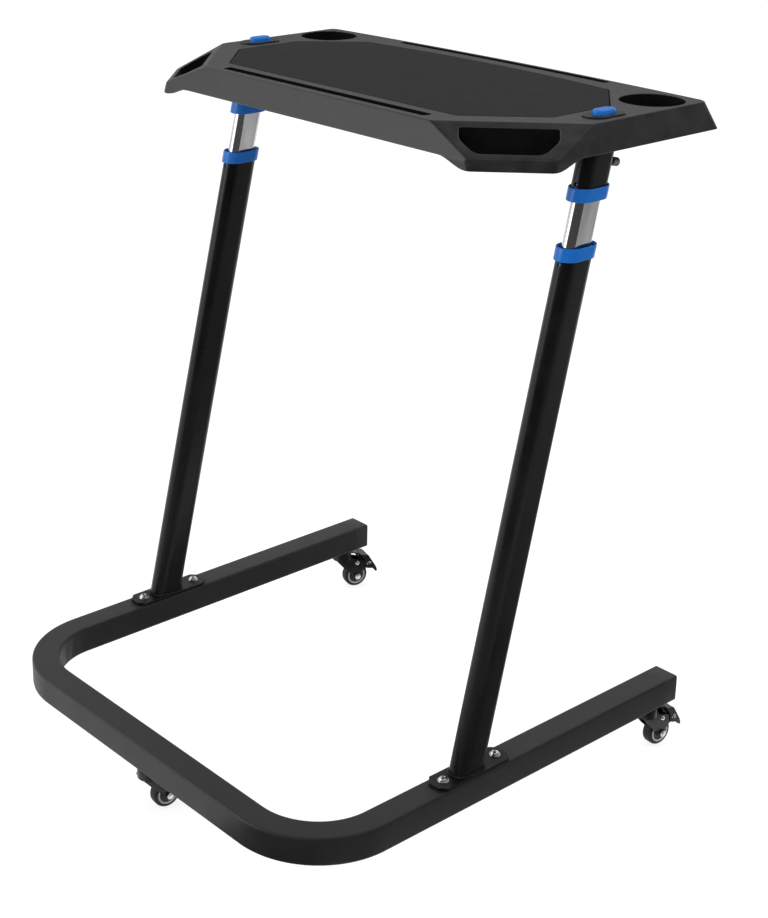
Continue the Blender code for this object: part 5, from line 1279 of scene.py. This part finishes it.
def ribs_and_bosses():
    """Ribs and screw bosses under the top, as closed nets that run into it."""
    parts = []
    foot = -TOP_THICKNESS - RIB_HEIGHT
    top = -TOP_THICKNESS + 0.0006
    half = RIB_WALL / 2
    for v in RIB_ROWS:
        parts.append(rib(-RIB_REACH - half, RIB_REACH + half, v, v + RIB_WALL, top, foot))
    tray = -SLOT_DEPTH - SLOT_WALL + 0.0004
    for x in (-RIB_REACH, -RIB_REACH / 2, 0.0, RIB_REACH / 2, RIB_REACH):
        near_tray, far_tray = 0.0435, far_edge(x, SLOT_FAR_INSET) - 0.0143
        runs = ((0.0105, near_tray + 0.001, tray), (near_tray, far_tray, top),
                (far_tray - 0.001, far_edge(x, 0.0103), tray))
        if abs(x) > 0.2:
            runs = ((abs(x) - CORNER_TOP_LINE + 0.0015, far_tray, top),)
        parts += [rib(x - half, x + half, low, high, above, foot) for low, high, above in runs]
    boss_foot = -TOP_THICKNESS - BOSS_HEIGHT
    boss = lathed(bent([(0, top, 0), (BOSS_RADIUS + 0.0012, top, 0),
                        (BOSS_RADIUS, -TOP_THICKNESS - 0.0015, 0.0008),
                        (BOSS_RADIUS - 0.0001, boss_foot, 0.0004), (0, boss_foot, 0)], 4), 28)
    parts += [moved(boss, shifted(x, v, 0)) for x, v in screw_places()]
    return parts


def desk_surface():
    """The mat: its outline with a rounded edge, flat on top."""
    profile = bent([(0.0004, -MAT_THICKNESS, 0), (0, -MAT_THICKNESS + 0.0003, 0.0001),
                    (0, 0, 0.0008), (0.002, 0, 0)], 4)
    part = slab(offset(mat_outline(), -0.0015), profile)
    made = piece("work_mat", moved(part, shifted(0, NEAR_Y, DESK_Z)), MAT, "desk", ["desk_mat"])
    return even_normals(made)


def button_sets():
    """Oval bezel let into the top over each post, and the domed button in it."""
    ring = np.array([(0.0165, 0.0315, 0.0003), (0.0170, 0.0320, 0.0006), (0.0170, 0.0320, 0.0011),
                     (0.0168, 0.0318, 0.0017), (0.0163, 0.0312, 0.0022), (0.0156, 0.0303, 0.0024),
                     (0.0150, 0.0294, 0.0023), (0.0138, 0.0272, 0.0017), (0.0120, 0.0235, 0.0013),
                     (0.0106, 0.0205, 0.0015), (0.0100, 0.0189, 0.0016), (0.0097, 0.0183, 0.0014),
                     (0.00965, 0.0182, 0.0008), (0.01095, 0.0195, 0.0006),
                     (0.01095, 0.0195, -0.0100), (0.01315, 0.0217, -0.0100),
                     (0.01315, 0.0217, 0.0003)])
    loops = oval(ring[:, 0], ring[:, 1], ring[:, 0], 14)
    bezel = net(raised_rows(loops, ring[:, 2]), closed=True)
    cap = bent([(0.00925, 0.0082, 0), (0.0040, 0.0080, 0.002), (0.0016, 0.0077, 0.0010),
                (0.0002, 0.0058, 0.0014), (0, 0.0002, 0), (-0.0013, 0.0002, 0.0003),
                (-0.0013, -0.0014, 0.0003), (0.00925, -0.0014, 0)], 6)
    button = turned((0.00925, 0.0170, 0.00925), cap, 14)
    hub = lathed([(0.006, -0.0012), (0.006, -0.0103), (0.0058, -0.0105), (0.0029, -0.0105),
                  (0.0029, -0.0025), (0, -0.0025)], 32)
    for name, side in SIDES.items():
        place = shifted(side * ARM_X, BUTTON_Y, DESK_Z)
        piece("button_bezel_" + name, moved(bezel, place), BLACK_PLASTIC, "desk",
              ["bezel_" + name])
        piece("button_cap_" + name, moved(joined(button, hub), place), BLUE, "button_" + name,
              ["button_" + name])


def caster_frame(name):
    """Frame of a caster: on the floor under its stem, X along its axle."""
    spin = JOINTS["roll_" + name]
    x_axis = np.array(spin["axis"]) / np.linalg.norm(spin["axis"])
    pos = JOINTS["swivel_" + name]["pos_m"]
    return framed((pos[0], pos[1], 0), x_axis, np.cross((0, 0, 1), x_axis), (0, 0, 1))


def both_ways(half):
    """Corners of a profile and the same corners mirrored, back again."""
    return half + [(radius, -height, reach) for radius, height, reach in half[::-1]]


def rivet_head(radius, height):
    """Domed head on a short collar."""
    return lathed(np.concatenate([[(0, -0.0004), (radius, -0.0004)], domed(radius, height)]), 28)


def drawn_up(made, place):
    """Draws a pedal's tail up and its hood down, each by a share of its way out in the caster."""
    points = np.empty(3 * len(made.data.vertices))
    made.data.vertices.foreach_get("co", points)
    local = (points.reshape(-1, 3) - place[:3, 3]) @ place[:3, :3]
    tail = np.clip((local[:, 1] - 0.0495) / 0.0113, 0, 1)
    hood = np.clip((local[:, 2] - 0.050) / 0.010, 0, 1)
    rear = np.clip((local[:, 1] - 0.0275) / 0.0115, 0, 1)
    local[:, 1] += 0.0050 * np.clip((local[:, 2] - 0.046) / 0.014, 0, 1) * rear
    local[:, 2] += 0.0070 * tail - (0.0030 + 0.0020 * rear) * hood
    made.data.vertices.foreach_set("co", (local @ place[:3, :3].T + place[:3, 3]).ravel())
    made.data.update()
    return made


def fork_web():
    """Arched plate behind a fork's crown and the front webs of its cheeks, all in (y, z) lines."""
    spine = bent([(0.0145, 0.0655, 0), (0.0263, 0.0628, 0.002), (0.0268, 0.0560, 0.002),
                  (0.0320, 0.0528, 0.003), (0.0352, 0.0470, 0)], 5)
    ahead = np.gradient(spine, axis=0)
    ahead = ahead / np.linalg.norm(ahead, axis=1)[:, None]
    under = spine + 0.0015 * np.stack([ahead[:, 1], -ahead[:, 0]], 1)
    arch = np.concatenate([spine, under[::-1]])[::-1]
    upright = framed((0, 0, 0), (0, 1, 0), (0, 0, 1), (1, 0, 0))
    parts = [moved(slab(arch, [(0.0003, 0.0096), (0, 0.0093), (0, -0.0093), (0.0003, -0.0096)]),
                   upright)]
    web = outline([(-0.0133, 0.0556, 0.0005), (-0.0133, 0.0536, 0.0005), (0.0040, 0.0340, 0.004),
                   (0.0120, 0.0262, 0.0005), (0.0100, 0.0500, 0.0005)], 4)
    for sign in (1, -1):
        high, low = (0.0116, 0.0099) if sign > 0 else (-0.0099, -0.0116)
        parts.append(moved(slab(web, [(0.0004, high), (0, high - 0.0004), (0, low + 0.0004),
                                      (0.0004, low)]), upright))
    return joined(*parts)


def wheel_nets():
    """Tyre, pair of rings and hub disc of a wheel about Z."""
    tread = bent(both_ways([(0.0158, 0.0078, 0), (0.0165, 0.0085, 0.0005),
                            (0.0178, 0.0085, 0.0006), (WHEEL_RADIUS, 0.0062, 0.0022)])
                 + [(0.0157, 0, 0)], 6)
    lip = bent([(0.0154, 0.0060, 0), (0.0154, 0.0082, 0.0003), (0.0132, 0.0084, 0.0003),
                (0.0126, 0.0074, 0.0003), (0.0126, 0.0060, 0)], 3)
    disc = bent(both_ways([(0.0034, 0.0084, 0), (0.0060, 0.0084, 0.0006),
                           (0.0066, 0.0066, 0.0008), (0.0128, 0.0066, 0.0004),
                           (0.0150, 0.0066, 0)]), 4)
    tyre, ring, other, hub = (lathed(line, 72, True) for line in (tread, lip, lip * (1, -1), disc))
    return tyre, joined(ring, other), hub


def casters():
    """Wheels, rivets, axles and races, and softened copies of the forks and pedals."""
    tyre, rings, hub = wheel_nets()
    side_x = framed((0, 0, 0), (0, 0, -1), (0, 1, 0), (1, 0, 0))
    for name in CASTERS:
        place = caster_frame(name)
        node_name = "caster_" + name
        wheel = place @ shifted(0, CASTER_TRAIL, WHEEL_RADIUS) @ side_x
        piece("wheel_tyre_" + name, moved(tyre, wheel), TYRE, "wheel_" + name,
              [node_name + "_tyre"])
        piece("wheel_rings_" + name, moved(rings, wheel), RING_PLASTIC, "wheel_" + name)
        piece("wheel_hub_" + name, moved(hub, wheel), HUB_PLASTIC, "wheel_" + name,
              [node_name + "_hub"])
        softened(node_name + "_fork", "fork_shell_" + name, FORK_PAINT, "caster_" + name, 0.0005)
        piece("fork_web_" + name, moved(fork_web(), place), FORK_PAINT, "caster_" + name)
        drawn_up(softened(node_name + "_pedal", "brake_pedal_" + name, BLACK_PLASTIC,
                          "brake_" + name, 0.0004), place)
        heads = []
        for aft, up, out in RIVETS:
            for sign in (1, -1):
                spot = framed((sign * out, aft, up), (0, 0, -sign), (0, 1, 0), (sign, 0, 0))
                heads.append(moved(rivet_head(0.0041, 0.0019), place @ spot))
        piece("fork_rivets_" + name, joined(*heads), ZINC, "caster_" + name)
        piece("wheel_bolt_" + name, moved(axle_bolt(), wheel), ZINC, "caster_" + name,
              [node_name + "_axle"])
        piece("stem_race_" + name, moved(stem(), place), STEEL, "base", [node_name + "_stem"])


def axle_bolt():
    """Axle: domed head at one end, hexagon nut with a chamfer and the thread's end at the other."""
    reach = 0.0120
    head = lathed(bent([(0.003, -reach, 0), (0.0050, -reach, 0.0002),
                        (0.0050, -reach - 0.0010, 0.0006), (0.0032, -reach - 0.0033, 0.0010),
                        (0, -reach - 0.0036, 0)], 5), 48)
    nut = lathed(bent([(0.003, reach, 0), (0.0047, reach, 0.0002), (0.0047, reach + 0.0032, 0.0003),
                       (0.0042, reach + 0.0036, 0.0002), (0.003, reach + 0.0036, 0)], 3), 48,
                 False, hexagon)
    rod = lathed([(0.003, -reach), (0.003, reach + 0.0042), (0.0026, reach + 0.0048),
                  (0, reach + 0.0048)], 48)
    return joined(head, nut, rod)


def stem():
    """Stem with its rounded race flange under the tube and the nut inside it."""
    race_top = TUBE_FOOT - GAP
    race = lathed(bent([(0.004, race_top, 0), (0.0125, race_top, 0.0004),
                        (0.0125, race_top - 0.0026, 0.0008), (0.004, race_top - 0.0026, 0)], 4),
                  48, True)
    rod = lathed([(0, TUBE_FOOT + 0.0155), (0.0036, TUBE_FOOT + 0.0155), (0.004, TUBE_FOOT + 0.015),
                  (0.004, 0.0540), (0.0068, 0.0540), (0.0068, 0.0518), (0.0064, 0.0514),
                  (0, 0.0514)], 48)
    return joined(race, rod)


def plate_screws():
    """Mounting plates with rounded edges, and the pan-head screws that hold them to the bosses."""
    for name in SIDES:
        softened("socket_plate_" + name, "mounting_plate_" + name, POST_PAINT, "desk", 0.0006)
    plate_foot = away("socket_plate_left", 0, 2)
    head = lathed(np.concatenate([[(0, -0.0105), (0.0016, -0.0105), (0.0018, -0.0100),
                                   (0.0018, 0), (0.0038, 0)], domed(0.0038, 0.0024, 1.2),
                                  [(0.0013, 0.0021)]]), 32)
    recess = lathed([(0.0013, 0.0021), (0.0011, 0.0019), (0.0010, 0.0008), (0, 0.0006)], 32, False,
                    lambda angle: 1 - 0.3 * np.sin(2 * angle) ** 2)
    screws = [moved(joined(head, recess), framed((x, NEAR_Y + v, plate_foot - 0.0001),
                                                 (1, 0, 0), (0, -1, 0), (0, 0, -1)))
              for x, v in screw_places()]
    for name, some in (("right", screws[:4]), ("left", screws[4:])):
        piece("plate_screws_" + name, joined(*some), ZINC, "desk")


base_tube()
end_caps()
foot_plates()
posts()
desk_moulding()
desk_surface()
button_sets()
casters()
plate_screws()

PLAIN = {"gas_cylinder": POST_PAINT, "spring_seat": BLACK_PLASTIC, "guide_bush": BLACK_PLASTIC,
         "gas_rod": CHROME, "release_head": STEEL, "push_rod": STEEL}
for kept, look in PLAIN.items():
    for side_name in SIDES:
        solid = frame["nodes"]["%s_%s" % (kept, side_name)]
        solid.data.materials.clear()
        solid.data.materials.append(look)


# Floor, light and camera

FLOOR_TONE = 0.40
FLOOR_GLOW = 0.79
FLOOR_REACH = 9
SKY_STRENGTH = 0.78
CARD_HEIGHT = 0.0012


def eye_rays(tree):
    """1 for rays from the camera, reflections and glass, and 0 for the others."""
    rays = node(tree, "LightPath").outputs
    seen = maths(tree, "MAXIMUM", rays["Is Camera Ray"], rays["Is Glossy Ray"])
    return maths(tree, "MAXIMUM", seen, rays["Is Transmission Ray"])


def stage_material():
    """White floor: part of its light is its own for the camera and reflections, the rest shows
    the object's shadow."""
    made, tree = material("studio_floor")
    shader = tree.nodes["Principled BSDF"]
    shader.inputs["Base Color"].default_value = (FLOOR_TONE, FLOOR_TONE, FLOOR_TONE, 1)
    shader.inputs["Roughness"].default_value = 0.9
    shader.inputs["Specular IOR Level"].default_value = 0.0
    shader.inputs["Emission Color"].default_value = (1, 1, 1, 1)
    tree.links.new(maths(tree, "MULTIPLY", eye_rays(tree), FLOOR_GLOW),
                   shader.inputs["Emission Strength"])
    return made


floor_mesh = bpy.data.meshes.new("studio_floor")
floor_mesh.from_pydata([(x * FLOOR_REACH, y * FLOOR_REACH, 0)
                        for x, y in ((-1, -1), (1, -1), (1, 1), (-1, 1))], [], [(0, 1, 2, 3)])
floor_mesh.materials.append(stage_material())
floor = placed("studio_floor", floor_mesh)

world = bpy.data.worlds.new("studio")
world.use_nodes = True
bpy.context.scene.world = world
sky = world.node_tree
background = sky.nodes["Background"]
background.inputs["Color"].default_value = (1, 1, 1, 1)
sky.links.new(spread(sky, eye_rays(sky), 0.0, 1.0, SKY_STRENGTH, 1.0),
              background.inputs["Strength"])


def arc(start, end, radius, height):
    """Points radius (sin a, -cos a) at a height, azimuth a counted from -Y towards +X."""
    angle = np.radians(np.linspace(start, end, 25))
    return np.stack([radius * np.sin(angle), -radius * np.cos(angle), np.full(25, height)], 1)


def studio_flag(name, level, foot, head):
    """Dark card that only reflections see, ruled between two lines of points."""
    points, (faces,) = net(np.stack([foot, head]), around=False)
    mesh = bpy.data.meshes.new(name)
    mesh.from_pydata(points.tolist(), [], faces.tolist())
    made, tree = material(name)
    tree.nodes.remove(tree.nodes["Principled BSDF"])
    mirrored = node(tree, "LightPath").outputs["Is Glossy Ray"]
    clear = node(tree, "BsdfTransparent").outputs[0]
    glow = node(tree, "Emission", {"Strength": level}).outputs[0]
    mix = node(tree, "MixShader", {0: mirrored, 1: clear, 2: glow}).outputs[0]
    tree.links.new(mix, tree.nodes["Material Output"].inputs["Surface"])
    mesh.materials.append(made)
    card = placed(name, mesh)


def floor_card(name, level, x_low, x_high, y_low, y_high):
    """Card that lies on the floor."""
    studio_flag(name, level, *(np.array([(x_low, y, CARD_HEIGHT), (x_high, y, CARD_HEIGHT)])
                               for y in (y_low, y_high)))


studio_flag("front_flag", 0.08, arc(-12, 96, 2.4, 0.0), arc(-12, 96, 2.4, 2.6))
studio_flag("right_flag", 0.42, arc(96, 165, 2.6, 0.0), arc(96, 165, 2.6, 1.2))
studio_flag("right_high_flag", 0.14, arc(96, 165, 2.6, 1.2), arc(96, 165, 2.6, 2.7))
studio_flag("left_flag", 0.20, arc(-165, -90, 2.4, 1.1), arc(-165, -90, 2.4, 1.88))
studio_flag("over_flag", 0.08, arc(-180, 180, 1.5, 2.75), arc(-180, 180, 0.01, 2.75))
floor_card("front_card", 0.12, 0.10, 1.20, -0.90, -0.34)
floor_card("side_card", 0.17, 0.405, 1.20, -0.34, 0.48)
floor_card("inner_card", 0.16, -0.26, 0.05, -0.20, 0.50)
floor_card("back_card", 0.30, 0.05, 1.20, 0.48, 1.60)
floor_card("far_card", 0.52, 1.20, 2.60, 0.40, 2.40)


def softbox(name, location, target, width, height, power):
    """Area lamp that faces a point."""
    lamp = bpy.data.lights.new(name, "AREA")
    lamp.shape = "RECTANGLE"
    lamp.size, lamp.size_y = width, height
    lamp.energy = power
    made = placed(name, lamp)
    made.location = location
    made.rotation_euler = (Vector(target) - Vector(location)).to_track_quat("-Z", "Y").to_euler()


softbox("key_light", (-1.9, -3.0, 1.7), (0, 0, 0.5), width=1.6, height=1.8, power=25)
softbox("top_light", (0.2, 0.4, 3.6), (0, 0, 0.6), width=2.6, height=2.6, power=7)


def add_camera(location, target, roll, lens, shift):
    """Camera that looks at a point, turned about its own axis by a roll."""
    camera = bpy.data.cameras.new("camera")
    camera.lens = lens
    camera.shift_x, camera.shift_y = shift
    camera.clip_start, camera.clip_end = 0.1, 60
    made = placed("camera", camera)
    forward = (Vector(target) - Vector(location)).normalized()
    level = forward.cross(Vector((0, 0, 1))).normalized()
    raised = level.cross(forward)
    right = level * math.cos(roll) + raised * math.sin(roll)
    up = raised * math.cos(roll) - level * math.sin(roll)
    made.matrix_world = Matrix.Translation(location) @ Matrix(
        (right, up, -forward)).transposed().to_4x4()
    bpy.context.scene.camera = made


add_camera(location=(1.7094, FRONT_Y - 1.1674, 1.3966), target=(0.0014, FRONT_Y + 0.3017, 0.5891),
           roll=math.radians(0.42), lens=69.7, shift=(0.0795, -0.110))
bpy.context.scene.view_settings.view_transform = "Standard"
